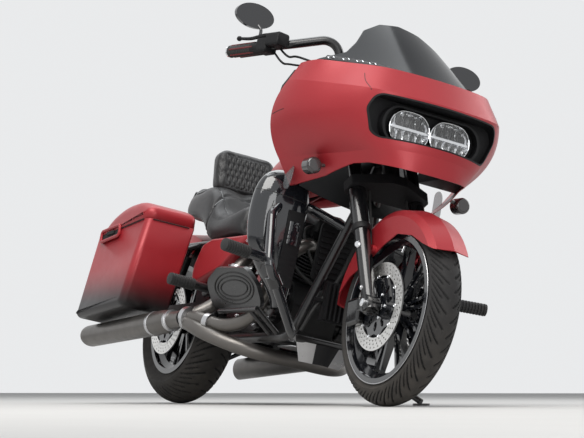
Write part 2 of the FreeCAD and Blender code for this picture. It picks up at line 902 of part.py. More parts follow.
# Frame
def frame():
    """Steering neck, backbone, twin downtubes, cradle and rear rails."""
    neck = sleeve(
        neck_radius, stem_radius + running_gap, steer_point(neck_bottom_height), steer_point(neck_top_height),
    )
    neck_room = cylinder(
        stem_radius + running_gap, steer_point(lower_clamp_height), steer_point(upper_clamp_height),
    )
    spine = tube(
        [steer_point(spine_front_height), spine_middle, spine_rear, spine_foot],
        backbone_radius, backbone_radius * 4,
    )
    down = tube(
        [
            Vector(down_top_x, 0, spine_front_height - backbone_radius),
            down_knee, cradle_front, cradle_rear, cradle_top,
        ],
        frame_tube_radius, frame_tube_radius * 4,
    )
    rail = tube([rail_rear, rail_front, rail_meet], rail_radius, rail_radius * 6)
    seat_post = cylinder(rail_radius, cradle_top, sideways(rail_front, rail_half_width))
    cross_bars = [
        cylinder(frame_tube_radius * 0.8, sideways(place, -place.y), place)
        for place in (cradle_front, cradle_rear)
    ]
    pivot_plate = plate(
        outline(
            Vector(swing_pivot.x, 0, cradle_height), pivot_plate_length,
            pivot_plate_height, pivot_plate_shares,
        ),
        plate_inner_y, plate_outer_y, bar_radius,
    )
    plate_bar = cylinder(
        rail_radius, sideways(plate_bar_place, cradle_half_width), sideways(plate_bar_place, plate_outer_y),
    )
    pivot_bolt = cylinder(
        pivot_bolt_radius, sideways(swing_pivot, -plate_outer_y), sideways(swing_pivot, plate_outer_y),
    )
    side = [down, rail, seat_post, pivot_plate, plate_bar] + fender_posts() + bag_posts()
    pieces = [neck, spine, fairing_arm(), pivot_bolt] + cross_bars + engine_mounts()
    pieces += side + [mirrored(shape) for shape in side]
    return fused(pieces).cut(neck_room)


def engine_mounts():
    """Cross bars between the cradle tubes, with a pad under each side of the crankcase."""
    mounts = []
    pad_half = frame_tube_radius * 0.8
    for place_x in mount_places:
        place = Vector(place_x, cradle_half_width, cradle_height)
        mounts.append(cylinder(pad_half, sideways(place, -cradle_half_width), place))
        for side in (RIGHT, LEFT):
            centre = sideways(place, side * mount_half_width)
            mounts.append(block(
                centre - Vector(pad_half, pad_half, 0),
                Vector(centre.x + pad_half, centre.y + pad_half, case_bottom_z),
            ))
    return mounts


def fender_posts():
    """Stubs from the rear rail to the side of the rear fender."""
    posts = []
    for place_x in (fender_post_reach, -fender_post_reach):
        inner = Vector(place_x, rear_fender_half_width + slip_gap, rail_height)
        posts.append(cylinder(rail_radius * 0.8, inner, sideways(inner, rail_half_width)))
    return posts


def bag_posts():
    """Stubs from the rear rail to the inner wall of the saddlebag."""
    posts = []
    for place_x in (bag_post_rear_x, bag_post_front_x):
        inner = Vector(place_x, rail_half_width, rail_height)
        outer = Vector(place_x, bag_inner_y + rail_radius, rail_height - bag_post_drop)
        post = cylinder(rail_radius * 0.8, inner, outer)
        beyond = outer - Vector(rail_radius * 2, rail_radius + slip_gap, rail_radius * 3)
        high = outer + Vector(rail_radius * 2, rail_radius * 3, rail_radius * 3)
        posts.append(post.cut(block(beyond, high)))
    return posts


def fairing_arm():
    """A box arm from the neck to the back of the headlight housing."""
    root = steer_point(fairing_arm_height)
    low = Vector(root.x + neck_radius * 0.6, -fairing_arm_half, root.z - fairing_arm_half)
    high = Vector(bezel_back_x - slip_gap, fairing_arm_half, root.z + fairing_arm_half)
    return block(low, high)


# Engine
def crankcase():
    tilt = math.radians(cylinder_angle_deg)
    side = cylinder_base * math.sin(tilt) + fin_radius * math.cos(tilt)
    side_z = crank_place.z + cylinder_base * math.cos(tilt) - fin_radius * math.sin(tilt)
    peak_z = crank_place.z + cylinder_base / math.cos(tilt)
    front = crank_place.x + side
    points = [
        Vector(crank_place.x - side, 0, side_z), Vector(crank_place.x, 0, peak_z), Vector(front, 0, side_z),
        Vector(front + case_nose, 0, crank_place.z), Vector(front, 0, case_bottom_z),
        Vector(transmission_rear_x + case_nose, 0, case_bottom_z),
        Vector(transmission_rear_x, 0, crank_place.z),
        Vector(transmission_rear_x + case_nose, 0, side_z),
    ]
    return plate(points, -case_half_width, case_half_width, case_rounding)


def cylinder_stack():
    """A finned barrel with a finned head and a rocker box, upright on the crank."""
    base = cylinder_base + slip_gap
    foot = crank_place + UPWARD * base
    top = foot + UPWARD * barrel_length
    pieces = [cylinder(barrel_radius, foot, top)]
    pitch = barrel_length / fin_count
    for index in range(1, fin_count):
        level = foot + UPWARD * (index * pitch)
        pieces.append(cylinder(fin_radius, level, level + UPWARD * fin_thickness))
    core = Vector(head_half_length * 0.8, head_half_width * 0.8, 0)
    pieces.append(block(top - core, top + core + UPWARD * head_length))
    head_pitch = head_length / head_fins
    reach = Vector(head_half_length, head_half_width, 0)
    for index in range(head_fins):
        level = top + UPWARD * (index * head_pitch)
        pieces.append(block(level - reach, level + reach + UPWARD * fin_thickness))
    cap = top + UPWARD * head_length
    reach = Vector(rocker_half_length, rocker_half_width, 0)
    rocker = block(cap - reach, cap + reach + UPWARD * rocker_length)
    pieces.append(rocker.makeFillet(rocker_rounding, rocker.Edges[:]))
    pieces.append(block(cap - reach, cap + reach + UPWARD * rocker_rounding))
    block_half = Vector(pushrod_half_spacing * 2, 0, 0)
    block_low = cap - block_half - LEFTWARD * (pushrod_y + pushrod_radius)
    block_inset = LEFTWARD * (rocker_half_width - rocker_rounding)
    block_high = cap + block_half - block_inset + UPWARD * pushrod_block_depth
    pieces.append(block(block_low, block_high))
    return fused(pieces)


def engine_cylinder(direction):
    """The stack leaned to the front or the rear, and trimmed at the middle of the V."""
    stack = turned(cylinder_stack(), crank_place, direction * cylinder_angle_deg)
    low = Vector(crank_place.x + direction * part_gap / 2, -fin_radius * 2, crank_place.z)
    high = Vector(low.x + direction * fin_radius * 6, fin_radius * 2, crank_place.z * 4)
    corner_low = Vector(min(low.x, high.x), low.y, low.z)
    corner_high = Vector(max(low.x, high.x), high.y, high.z)
    return stack.common(block(corner_low, corner_high))


def stadium(front, front_radius, rear, rear_radius, low_y, high_y):
    """A long cover with two round ends of different size."""
    ends = []
    for centre, radius in ((front, front_radius), (rear, rear_radius)):
        ends.append(cylinder(radius, sideways(centre, low_y), sideways(centre, high_y)))
    along = front - rear
    tilt = math.asin((rear_radius - front_radius) / along.Length)
    base = math.atan2(along.z, along.x)
    points = []
    for centre, radius, turn in (
        (front, front_radius, 1), (rear, rear_radius, 1), (rear, rear_radius, -1), (front, front_radius, -1),
    ):
        angle = base + turn * (math.pi / 2 - tilt)
        points.append(Vector(centre.x + radius * math.cos(angle), low_y, centre.z + radius * math.sin(angle)))
    belt = Part.Face(Part.makePolygon(points + points[:1])).extrude(Vector(0, high_y - low_y, 0))
    return fused(ends + [belt])


def primary_cover():
    front = Vector(primary_front_x - primary_front_radius, 0, crank_place.z)
    rear = Vector(primary_rear_x + primary_rear_radius, 0, crank_place.z + case_rounding / 2)
    inner = case_half_width + slip_gap
    near = pulley_offset + pulley_width + overrun
    far = near + primary_depth
    neck = cylinder(primary_neck_radius, sideways(front, inner), sideways(front, near))
    cover = stadium(front, primary_front_radius, rear, primary_rear_radius, near, far)
    flat = [edge for edge in cover.Edges if edge.BoundBox.YLength < slip_gap]
    outer = [edge for edge in flat if abs(edge.BoundBox.YMin - far) < slip_gap]
    cover = cover.makeFillet(primary_rounding, outer)
    derby = cylinder(derby_radius, sideways(rear, far - derby_depth), sideways(rear, far + derby_depth))
    return fused([cover, derby, neck])


def cam_cover():
    """The round cam cover with the four pushrod tubes that rise from it."""
    near = -case_half_width - slip_gap
    far = near - cam_cover_depth
    base = cylinder(cam_cover_radius, sideways(cam_cover_place, near), sideways(cam_cover_place, far))
    dome = Part.makeCone(
        cam_dome_radius, cam_dome_radius * 0.85, cam_dome_depth,
        sideways(cam_cover_place, far), LEFTWARD * -1,
    )
    return fused([base, dome])


def pushrods():
    rods = []
    for direction in (1, -1):
        for shift in (-1, 1):
            foot = crank_place + Vector(shift * pushrod_half_spacing, -pushrod_y, cylinder_base * 0.6)
            top = crank_place + Vector(
                shift * pushrod_half_spacing, -pushrod_y, cylinder_base + barrel_length + head_length,
            )
            rod = cylinder(pushrod_radius, foot, top)
            rods.append(turned(rod, crank_place, direction * cylinder_angle_deg))
    return rods


def air_cleaner():
    """A round can on a throat that meets the intake pipe between the heads."""
    face = air_cleaner_place.y
    can = cylinder(
        air_cleaner_radius, air_cleaner_place, sideways(air_cleaner_place, face - air_cleaner_depth),
    )
    can = can.makeFillet(air_cleaner_depth * 0.3, [can.Edges[0], can.Edges[2]])
    inner = sideways(air_cleaner_place, -barrel_radius)
    throat = cylinder(intake_radius, inner, air_cleaner_place)
    reach = FORWARD * head_half_length
    intake = cylinder(intake_radius * 0.8, inner - reach, inner + reach)
    elbow = Part.makeSphere(intake_radius, inner)
    return fused([can, throat, intake, elbow])


# Exhaust
def exhaust_pipes():
    """Two headers, the collector and the pipe that crosses under the engine."""
    front = tube(front_header_route, header_radius, header_radius * 2.5)
    rear = tube(rear_header_route, header_radius, header_radius * 2.5)
    cross = tube(crossover_route, crossover_radius, crossover_radius * 3)
    right_end = sideways(muffler_front, -muffler_front.y)
    inlet = cylinder(collector_radius, sideways(collector_place, -collector_place.y), right_end)
    outlet = cylinder(crossover_radius, crossover_route[-1], muffler_front)
    return fused([front, rear, cross, inlet, outlet])


def muffler():
    """A long can with a cone at the front and a slash cut at the rear."""
    along = muffler_rear - muffler_front
    along.normalize()
    start = muffler_front + along * slip_gap
    shoulder = start + along * muffler_radius
    cone = Part.makeCone(collector_radius, muffler_radius, muffler_radius, start, along)
    far = muffler_rear + along * muffler_radius
    can = cylinder(muffler_radius, shoulder, far)
    hollow_start = far - along * muffler_mouth
    can = can.cut(cylinder(muffler_radius - muffler_wall, hollow_start, far + along * overrun))
    knife = block(
        Vector(-muffler_radius * 4, -muffler_radius * 2, -muffler_radius * 3),
        Vector(0, muffler_radius * 2, muffler_radius * 3),
    )
    knife.rotate(ZERO, LEFTWARD, -muffler_slash_deg)
    knife.translate(muffler_rear)
    return fused([cone, can]).cut(knife)


def oil_cooler():
    """A finned cooler that sits between the downtubes."""
    rear_x = cooler_front_x - cooler_depth
    core = block(
        Vector(rear_x, -cooler_half_width, cooler_low_z),
        Vector(cooler_front_x - cooler_depth * 0.4, cooler_half_width, cooler_low_z + cooler_height),
    )
    pitch = 2 * cooler_half_width / cooler_fins
    fins = []
    for index in range(cooler_fins):
        low_y = -cooler_half_width + (index + 0.3) * pitch
        fins.append(block(
            Vector(rear_x, low_y, cooler_low_z + overrun),
            Vector(cooler_front_x, low_y + pitch * 0.35, cooler_low_z + cooler_height - overrun),
        ))
    hang = Vector(rear_x + cooler_hanger / 2, cradle_half_width, cooler_low_z + cooler_height / 2)
    hanger = cylinder(
        cooler_hanger / 2, sideways(hang, -cooler_hang_reach), sideways(hang, cooler_hang_reach),
    )
    return fused([core, hanger] + fins)


# Fairing
def fairing_section(level, inset):
    """One closed plan section: a spline round the front, straight at the rear."""
    front_share, rear_share = level[:2]
    places = [
        (fairing_rear_x + fairing_length * ahead, fairing_half_width * across) for ahead, across in level[2:]
    ]
    nose_x = places[-1][0]
    tilt = fairing_height * (rear_share - front_share) / (nose_x - fairing_rear_x)
    half = []
    for index, (x, y) in enumerate(places):
        ahead = index / (len(places) - 1)
        x -= inset * ahead if index else inset * 6
        y -= inset * (1 - ahead * 0.6) if y else 0.0
        z = fairing_base_z + fairing_height * front_share + tilt * (nose_x - x)
        half.append(Vector(x, -y, z))
    run = half + [Vector(p.x, -p.y, p.z) for p in reversed(half[:-1])]
    return Part.Wire([smooth_edge(run), Part.makeLine(run[-1], run[0])])


def fairing_body(inset):
    """The full fairing form, drawn in by an inset on its front and sides."""
    edge, fold, widest, crease, top = [
        fairing_section(level, inset) for level in (
            fairing_edge_shares, fairing_fold_shares, fairing_widest_shares,
            fairing_crease_shares, fairing_top_shares,
        )
    ]
    if inset:
        top.translate(UPWARD * -inset)
    lower = Part.makeLoft([edge, fold], True, True)
    middle = Part.makeLoft([fold, widest, crease], True, False)
    upper = Part.makeLoft([crease, top], True, True)
    return lower.multiFuse([middle, upper])


def fairing_profile():
    place = Vector(fairing_rear_x, 0, fairing_base_z)
    points = outline(place, fairing_length, fairing_height, fairing_side_shares)
    return plate(points, -fairing_half_width - overrun, fairing_half_width + overrun, fairing_wall)


def opening_wire(at_x, inset):
    """The outline of the headlight opening in front view."""
    high = opening_high_z - inset
    middle = opening_middle_z
    low = opening_low_z + inset
    half = [
        (opening_high_half - inset, high),
        (opening_middle_half - inset, middle), (opening_low_half - inset, low),
    ]
    points = [Vector(at_x, -y, z) for y, z in half] + [Vector(at_x, y, z) for y, z in reversed(half)]
    return rounded_wire(points, opening_corner - inset)


def opening_prism(start_x, end_x, inset):
    return Part.Face(opening_wire(start_x, inset)).extrude(FORWARD * (end_x - start_x))


def front_limit():
    return fairing_rear_x + fairing_length + overrun


def fairing_shell(outer, inner):
    shell = outer.common(fairing_profile()).cut(inner)
    shell = shell.cut(opening_prism(bezel_back_x - fairing_wall, front_limit(), 0.0))
    return shell.cut(screen_room())


def lamp_bezel(outer):
    """The recessed tray of the headlight opening, with a raised stadium ring."""
    tray = opening_prism(bezel_back_x, front_limit(), slip_gap).common(outer)
    tray = tray.cut(opening_prism(bezel_floor_x, front_limit(), slip_gap + bezel_wall))
    ring = stadium_x(bezel_half_length, bezel_half_height, bezel_floor_x, bezel_front_x)
    hollow = stadium_x(
        bezel_half_length - bezel_wall * 2, bezel_half_height - bezel_wall, bezel_floor_x, bezel_front_x,
    )
    tray = tray.fuse(ring.cut(hollow))
    for side in (RIGHT, LEFT):
        seat = stadium_x(
            lamp_half_length + slip_gap, lamp_half_height + slip_gap,
            bezel_floor_x - bezel_wall, bezel_floor_x + lamp_depth * 2,
        )
        seat.translate(LEFTWARD * side * lamp_half_spacing)
        tray = tray.cut(seat)
    return tray.removeSplitter()


def stadium_x(half_length, half_height, start_x, end_x):
    """A long round-ended block that points forward."""
    straight = half_length - half_height
    low = Vector(start_x, -straight, lamp_height - half_height)
    high = Vector(end_x, straight, lamp_height + half_height)
    ends = []
    for side in (RIGHT, LEFT):
        centre = Vector(start_x, side * straight, lamp_height)
        ends.append(cylinder(half_height, centre, centre + FORWARD * (end_x - start_x)))
    return fused([block(low, high)] + ends)


def headlamp():
    """One round lamp with a domed glass."""
    back = bezel_floor_x - bezel_wall
    can = stadium_x(lamp_half_length, lamp_half_height, back, back + lamp_depth)
    can.translate(LEFTWARD * lamp_half_spacing)
    rim_edge = [edge for edge in can.Edges if abs(edge.BoundBox.XMin - back - lamp_depth) < slip_gap]
    return can.makeFillet(bezel_wall, rim_edge)


def screen_form(inset):
    """The full form behind the screen's outer face, drawn in by an inset."""
    levels = []
    for rise_share, back_share, width_share in screen_level_shares:
        front_x = screen_base_x - screen_rake * back_share - inset
        z = screen_base_z + screen_height * rise_share
        half = screen_half_width * width_share
        drop = screen_wrap * width_share
        points = [Vector(front_x - drop * back, half * across, z) for across, back in screen_plan_shares]
        run = [Vector(p.x, -p.y, p.z) for p in reversed(points[1:])] + points
        levels.append(Part.Wire([smooth_edge(run), Part.makeLine(run[-1], run[0])]))
    return Part.makeLoft(levels, True, False)


def windshield():
    """A raked and curved screen, trimmed to a humped outline."""
    solid = screen_form(0.0).cut(screen_form(screen_thickness * screen_slant_share))
    place = Vector(screen_base_x + screen_rake, 0, screen_base_z)
    points = [
        place + Vector(0, screen_half_width * across, screen_height * rise)
        for across, rise in screen_front_shares
    ]
    points = points + [Vector(p.x, -p.y, p.z) for p in reversed(points) if p.y]
    reach = (screen_rake + screen_wrap) * 2
    hood = Part.Face(rounded_wire(points, screen_corner)).extrude(FORWARD * -reach)
    screen = solid.common(hood)
    return max(screen.Solids, key=lambda piece: piece.Volume)


def screen_room():
    """The opening in the top of the fairing that the screen stands in."""
    deck = screen_base_z - slip_gap
    low = Vector(fairing_rear_x, -screen_half_width, deck)
    rear_room = block(low, Vector(screen_base_x - screen_wrap, screen_half_width, deck + screen_height))
    front_room = screen_form(-slip_gap * screen_slant_share).common(block(
        Vector(fairing_rear_x, -fairing_half_width, deck),
        Vector(front_limit(), fairing_half_width, deck + screen_height),
    ))
    return rear_room.fuse(front_room)


def inner_fairing(inner):
    """The dash: an arched panel with two speaker pods and two gauges."""
    wide = fairing_half_width
    top = fairing_base_z + fairing_height
    panel = block(Vector(dash_face_x, -wide, dash_notch_z), Vector(dash_face_x + dash_depth, wide, top))
    pods = []
    for side in (RIGHT, LEFT):
        low_y, high_y = sorted((side * dash_notch_half, side * wide))
        pods.append(
            block(Vector(pod_rear_x, low_y, pod_floor_z), Vector(dash_face_x + dash_depth, high_y, top)),
        )
    deck_top = screen_base_z - slip_gap
    deck = block(Vector(dash_face_x, -wide, deck_top - deck_thickness), Vector(front_limit(), wide, deck_top))
    low = block(Vector(pod_rear_x, -wide, pod_floor_z), Vector(front_limit(), wide, deck_top))
    dash = fused([panel, deck] + pods).common(inner).common(low)
    for side in (RIGHT, LEFT):
        centre = Vector(dash_face_x, side * gauge_half_spacing, gauge_height)
        gauge = cylinder(gauge_radius, centre - FORWARD * overrun, centre + FORWARD * overrun)
        dash = dash.fuse(gauge)
    return dash.removeSplitter().cut(clamp_room())


def front_signal(outer):
    """A round turn signal on a short stalk from the lower edge of the fairing."""
    back = signal_place - FORWARD * (signal_length / 2)
    lamp = cylinder(signal_radius, back, back + FORWARD * signal_length)
    lamp = lamp.makeFillet(signal_radius * 0.35, [lamp.Edges[0]])
    inner = sideways(signal_place, signal_place.y - signal_radius * 4) + UPWARD * signal_radius
    stalk = cylinder(signal_stalk_radius, signal_place, inner)
    return fused([lamp, stalk.cut(outer)])


# Tank, seat and side covers
def ribbed_body(place, size, station_shares, ring_shares):
    """A smooth body through closed cross-sections along the vehicle."""
    rings = []
    for station, width, low, high in station_shares:
        points = []
        for across, rise in ring_shares:
            points.append(place + Vector(
                size.x * station, size.y * width * across, size.z * (low + (high - low) * rise),
            ))
        rings.append(loop(points))
    return Part.makeLoft(rings, True, False)


tank_station_shares = [
    (0.0, 0.30, 0.10, 0.50), (0.10, 0.62, 0.02, 0.66), (0.35, 0.92, 0.0, 0.86), (0.65, 1.0, 0.04, 1.0),
    (0.88, 0.82, 0.16, 0.98), (1.0, 0.48, 0.34, 0.86),
]
tank_ring_shares = [
    (0.0, 1.0), (0.55, 0.95), (0.90, 0.72), (1.0, 0.40), (0.80, 0.08), (0.45, 0.0), (0.0, 0.03),
    (-0.45, 0.0), (-0.80, 0.08), (-1.0, 0.40), (-0.90, 0.72), (-0.55, 0.95),
]
seat_station_shares = [
    (0.0, 0.55, 0.58, 0.88), (0.08, 0.80, 0.50, 0.97), (0.30, 0.94, 0.38, 0.96), (0.42, 0.96, 0.22, 0.84),
    (0.50, 1.0, 0.06, 0.54), (0.66, 0.98, 0.0, 0.44), (0.84, 0.78, 0.04, 0.52), (0.97, 0.50, 0.20, 0.64),
]
seat_ring_shares = [
    (0.0, 0.96), (0.55, 1.0), (0.88, 0.84), (1.0, 0.50), (0.98, 0.10), (0.80, 0.0), (0.0, 0.0),
    (-0.80, 0.0), (-0.98, 0.10), (-1.0, 0.50), (-0.88, 0.84), (-0.55, 1.0),
]


def fuel_tank():
    place = Vector(tank_rear_x, 0, tank_base_z)
    body = ribbed_body(
        place, Vector(tank_length, tank_half_width, tank_height), tank_station_shares, tank_ring_shares,
    )
    return body.cut(spine_room(slip_gap))


def spine_room(gap):
    """The tunnel that the backbone runs through, open below."""
    reach = backbone_radius + gap
    points = [
        steer_point(spine_front_height) + UPWARD * reach + FORWARD * reach,
        spine_middle + UPWARD * reach * 1.1,
        spine_rear + UPWARD * reach * 1.3, spine_foot + UPWARD * reach * 1.2 - FORWARD * reach,
        spine_foot - UPWARD * reach * 4 - FORWARD * reach,
        steer_point(spine_front_height) - UPWARD * reach * 9,
    ]
    return plate(points, -reach, reach, running_gap)


def seat():
    place = Vector(seat_rear_x, 0, seat_base_z)
    body = ribbed_body(
        place, Vector(seat_length, seat_half_width, seat_height), seat_station_shares, seat_ring_shares,
    )
    rails = tube([rail_rear, rail_front, rail_meet], rail_radius + slip_gap, rail_radius * 6)
    return carried(body, spine_room(slip_gap), seat_room(), rails, mirrored(rails))


def seat_room():
    """The hollow below the seat for the rear cylinder and the rails."""
    low = Vector(seat_room_rear_x, -seat_room_half, seat_base_z - overrun)
    return block(low, Vector(seat_rear_x + seat_length + overrun, seat_room_half, seat_room_top_z))


def backrest():
    """An upright pad with rounded edges, leaned back a little."""
    low = backrest_place - Vector(backrest_thickness / 2, backrest_half_width, 0)
    high = backrest_place + Vector(backrest_thickness / 2, backrest_half_width, backrest_height)
    pad = block(low, high)
    upright = [edge for edge in pad.Edges if edge.BoundBox.XLength > backrest_thickness / 2]
    pad = pad.makeFillet(backrest_half_width * 0.34, upright)
    pad = pad.makeFillet(backrest_thickness * 0.3, [e for e in pad.Edges if e.BoundBox.XLength < running_gap])
    pad.rotate(backrest_place, LEFTWARD, -backrest_tilt_deg)
    return pad


side_cover_shares = [
    (0.0, 0.0), (0.14, 0.0), (0.62, 0.30), (0.98, 0.86), (1.0, 1.0), (0.30, 1.0), (0.12, 0.88), (0.0, 0.35),
]


side_cover_dome_shares = [(0.0, 1.0), (0.45, 0.99), (0.8, 0.93), (1.0, 0.82)]


def side_cover():
    """A domed panel below the seat."""
    centre = Vector(cover_low_x + cover_length * 0.45, 0, cover_low_z + cover_height * 0.6)
    points = outline(Vector(cover_low_x, 0, cover_low_z), cover_length, cover_height, side_cover_shares)
    wires = []
    for out_share, size_share in side_cover_dome_shares:
        level = cover_inner_y + (cover_outer_y - cover_inner_y) * out_share
        ring = [sideways(centre + (point - centre) * size_share, level) for point in points]
        wires.append(rounded_wire(ring, cover_height * 0.2))
    return Part.makeLoft(wires, True, False)


# Rear end
rear_fender_keep_shares = [
    (62, 1.35), (62, 0.85), (90, 0.85), (130, 0.85), (165, 0.90), (184, 0.98), (184, 1.35), (160, 1.5),
    (130, 1.5), (100, 1.5), (80, 1.5),
]


def rear_fender():
    ring = fender(
        rear_axle, rear_tyre_radius, rear_fender_gap,
        rear_fender_half_width, rear_tyre_radius * 0.24, fender_sheet,
    )
    points = [
        polar(rear_axle, share, degrees, rear_tyre_radius) for degrees, share in rear_fender_keep_shares
    ]
    keep = plate(points, -rear_fender_half_width, rear_fender_half_width, rear_fender_gap)
    return ring.common(keep)


def tail_lamp():
    """A lamp block on the rear fender, with two signals on a cross bar."""
    room = rear_tyre_radius + rear_fender_gap + fender_sheet + slip_gap
    centre = polar(rear_axle, 1, tail_lamp_deg, room)
    low = centre - Vector(tail_lamp_depth, tail_lamp_half_width, tail_lamp_half_height)
    high = centre + Vector(tail_lamp_depth, tail_lamp_half_width, tail_lamp_half_height)
    lamp = block(low, high)
    lamp = lamp.makeFillet(
        tail_lamp_depth * 0.3, [edge for edge in lamp.Edges if edge.BoundBox.XMax < centre.x]
    )
    reach = tail_lamp_half_width * 2
    lamp = lamp.cut(cylinder(room, sideways(rear_axle, -reach), sideways(rear_axle, reach)))
    place = centre - Vector(tail_lamp_depth * 0.5, 0, 0)
    bar = cylinder(signal_stalk_radius, sideways(place, -tail_signal_y), sideways(place, tail_signal_y))
    pieces = [lamp, bar]
    for side in (RIGHT, LEFT):
        spot = sideways(place, side * tail_signal_y)
        back, front = spot - FORWARD * signal_length * 0.5, spot + FORWARD * signal_length * 0.3
        pieces.append(cylinder(signal_radius * 0.8, back, front))
    return fused(pieces)


bag_body_shares = [(0.0, 0.0), (0.80, 0.105), (1.0, 0.83), (0.175, 0.71)]
bag_lid_shares = [(0.175, 0.71), (1.0, 0.83), (0.985, 0.95), (0.80, 0.985), (0.58, 0.965), (0.36, 0.88)]


def bag_profile(shares, inset, low_y, high_y):
    place = Vector(bag_rear_x, 0, bag_base_z)
    points = outline(place, bag_length, bag_height, shares)
    wire = rounded_wire([sideways(point, low_y) for point in points], bag_corner)
    if inset:
        wire = wire.makeOffset2D(-inset)
    return Part.Face(wire).extrude(Vector(0, high_y - low_y, 0))


def seam_axis():
    """The direction of the seam, and its front and rear ends."""
    place = Vector(bag_rear_x, 0, bag_base_z)
    rear, front = outline(place, bag_length, bag_height, [bag_body_shares[3], bag_body_shares[2]])
    return rear, front


def bag_form(shares, inset):
    """The outer form of a bag or lid, or the form drawn in by its wall."""
    return bag_profile(shares, inset, bag_inner_y + inset, bag_outer_y - inset)


def muffler_tunnel(gap):
    """The room that a bag leaves for the muffler beside and below it."""
    along = (muffler_rear - muffler_front).normalize()
    start = muffler_front - along * muffler_radius
    end = muffler_rear + along * muffler_radius * 2
    reach = muffler_radius + tunnel_gap + gap
    pipe = cylinder(reach, start, end)
    span = pipe.BoundBox
    low = Vector(span.XMin, span.YMin - reach * 2, 0)
    shadow = block(low, Vector(span.XMax, muffler_front.y, muffler_rear.z + reach * 0.9))
    return pipe.fuse(shadow)


def saddlebag():
    """A hollow box with a sloping open top, cut away over the muffler."""
    body = bag_form(bag_body_shares, 0.0).cut(muffler_tunnel(0.0))
    inside = bag_form(bag_body_shares, bag_wall)
    mouth = inside.copy()
    mouth.translate(UPWARD * bag_wall * 3)
    hollow = inside.fuse(mouth).cut(muffler_tunnel(bag_wall))
    return body.cut(hollow)


def bag_lid():
    """A hollow lid, open below, with a sloping underside that follows the seam."""
    lid = bag_form(bag_lid_shares, 0.0)
    inside = bag_form(bag_lid_shares, bag_wall)
    mouth = inside.copy()
    mouth.translate(UPWARD * -bag_wall * 3)
    lid = lid.cut(inside.fuse(mouth))
    lid.translate(UPWARD * bag_seam_gap)
    return lid


# Lower fairings, guard and footrests
shield_level_shares = [
    (0.0, 0.55, 0.16, 0.30), (0.16, 0.70, 0.10, 0.52), (0.42, 0.92, 0.04, 0.92), (0.66, 1.0, 0.0, 1.0),
    (0.86, 0.94, 0.02, 0.94), (0.96, 0.70, 0.10, 0.80), (1.0, 0.36, 0.24, 0.62),
]
shield_ring_shares = [
    (0.50, 0.0), (0.92, 0.12), (1.0, 0.48), (0.82, 0.86),
    (0.45, 1.0), (0.10, 0.86), (0.0, 0.45), (0.12, 0.10),
]


def lower_fairing():
    """A tall hollow-backed shield beside the engine, notched round the guard."""
    rings = []
    for rise, depth, near, far in shield_level_shares:
        z = shield_base_z + shield_height * rise
        points = []
        for ahead, across in shield_ring_shares:
            x = shield_rear_x + shield_depth * (0.5 + (ahead - 0.5) * depth)
            y = shield_inner_y + shield_span * (near + (far - near) * across)
            points.append(Vector(x, y, z))
        rings.append(loop(points))
    body = Part.makeLoft(rings, True, False)
    return body.cut(guard_bar(guard_radius + slip_gap))


def guard_bar(radius):
    return tube(guard_route, radius, guard_radius * 3.5)


def engine_guard():
    """A bar that loops out on both sides, with a footpeg on each."""
    bar = guard_bar(guard_radius)
    clamp_place = highway_peg_inner - LEFTWARD * guard_radius * 0.6
    peg = cylinder(peg_radius, highway_peg_inner, highway_peg_outer)
    collar = Part.makeSphere(guard_radius * 1.5, clamp_place)
    side = [bar, peg, collar]
    return fused(side)


def passenger_peg():
    peg = cylinder(peg_radius * 0.85, passenger_peg_inner, passenger_peg_outer)
    root = Vector(swing_pivot.x + peg_radius, plate_outer_y, passenger_peg_inner.z)
    arm = cylinder(peg_radius * 0.6, root, passenger_peg_inner)
    return fused([peg, arm])


board_bracket_shares = (0.74, 0.89)
board_shares = [(0.0, 0.0), (1.0, 0.0), (1.0, 0.55), (0.86, 0.94), (0.30, 1.0), (0.0, 0.72)]


def floorboard(tilt_deg):
    """A D-shaped board on a hinge bar along its inner edge."""
    hinge = Vector(board_rear_x, board_hinge_y, board_height)
    points = [hinge + Vector(board_length * x, board_width * y, 0) for x, y in board_shares]
    board = Part.Face(rounded_wire(points, board_width * 0.3)).extrude(UPWARD * board_thickness)
    board.rotate(hinge, FORWARD, tilt_deg)
    bar = cylinder(
        board_thickness * 0.6, hinge + FORWARD * board_length * 0.12, hinge + FORWARD * board_length * 0.9,
    )
    pieces = [board, bar]
    for share in board_bracket_shares:
        spot = hinge + FORWARD * board_length * share
        root = Vector(spot.x, cradle_half_width, cradle_height)
        pieces.append(cylinder(board_thickness * 0.55, root, spot))
    return fused(pieces)


# Swingarm side
def swingarm():
    """Two arms on a pivot tube, with shock lugs and open slots for the axle."""
    arm_low = swing_pivot - UPWARD * arm_height / 2
    points = [
        Vector(swing_pivot.x + arm_tip, 0, swing_pivot.z + arm_height / 2),
        Vector(swing_pivot.x + arm_tip, 0, swing_pivot.z - arm_height / 2),
        Vector(-arm_tip * 1.4, 0, rear_axle.z - arm_height * 0.36),
        Vector(-arm_tip * 1.4, 0, rear_axle.z + arm_height * 0.36),
        Vector(shock_low.x, 0, rear_axle.z + arm_height * 0.5),
    ]
    arm = plate(points, arm_centre_y - arm_width / 2, arm_centre_y + arm_width / 2, arm_height * 0.4)
    cross = cylinder(pivot_radius, sideways(swing_pivot, -arm_centre_y), sideways(swing_pivot, arm_centre_y))
    reach = arm_centre_y + arm_width
    arms = fused([arm, mirrored(arm), cross])
    hole = cylinder(axle_radius + running_gap, sideways(rear_axle, -reach), sideways(rear_axle, reach))
    bolt_room = cylinder(
        pivot_bolt_radius + running_gap, sideways(swing_pivot, -reach), sideways(swing_pivot, reach),
    )
    return arms.cut(hole).cut(bolt_room)


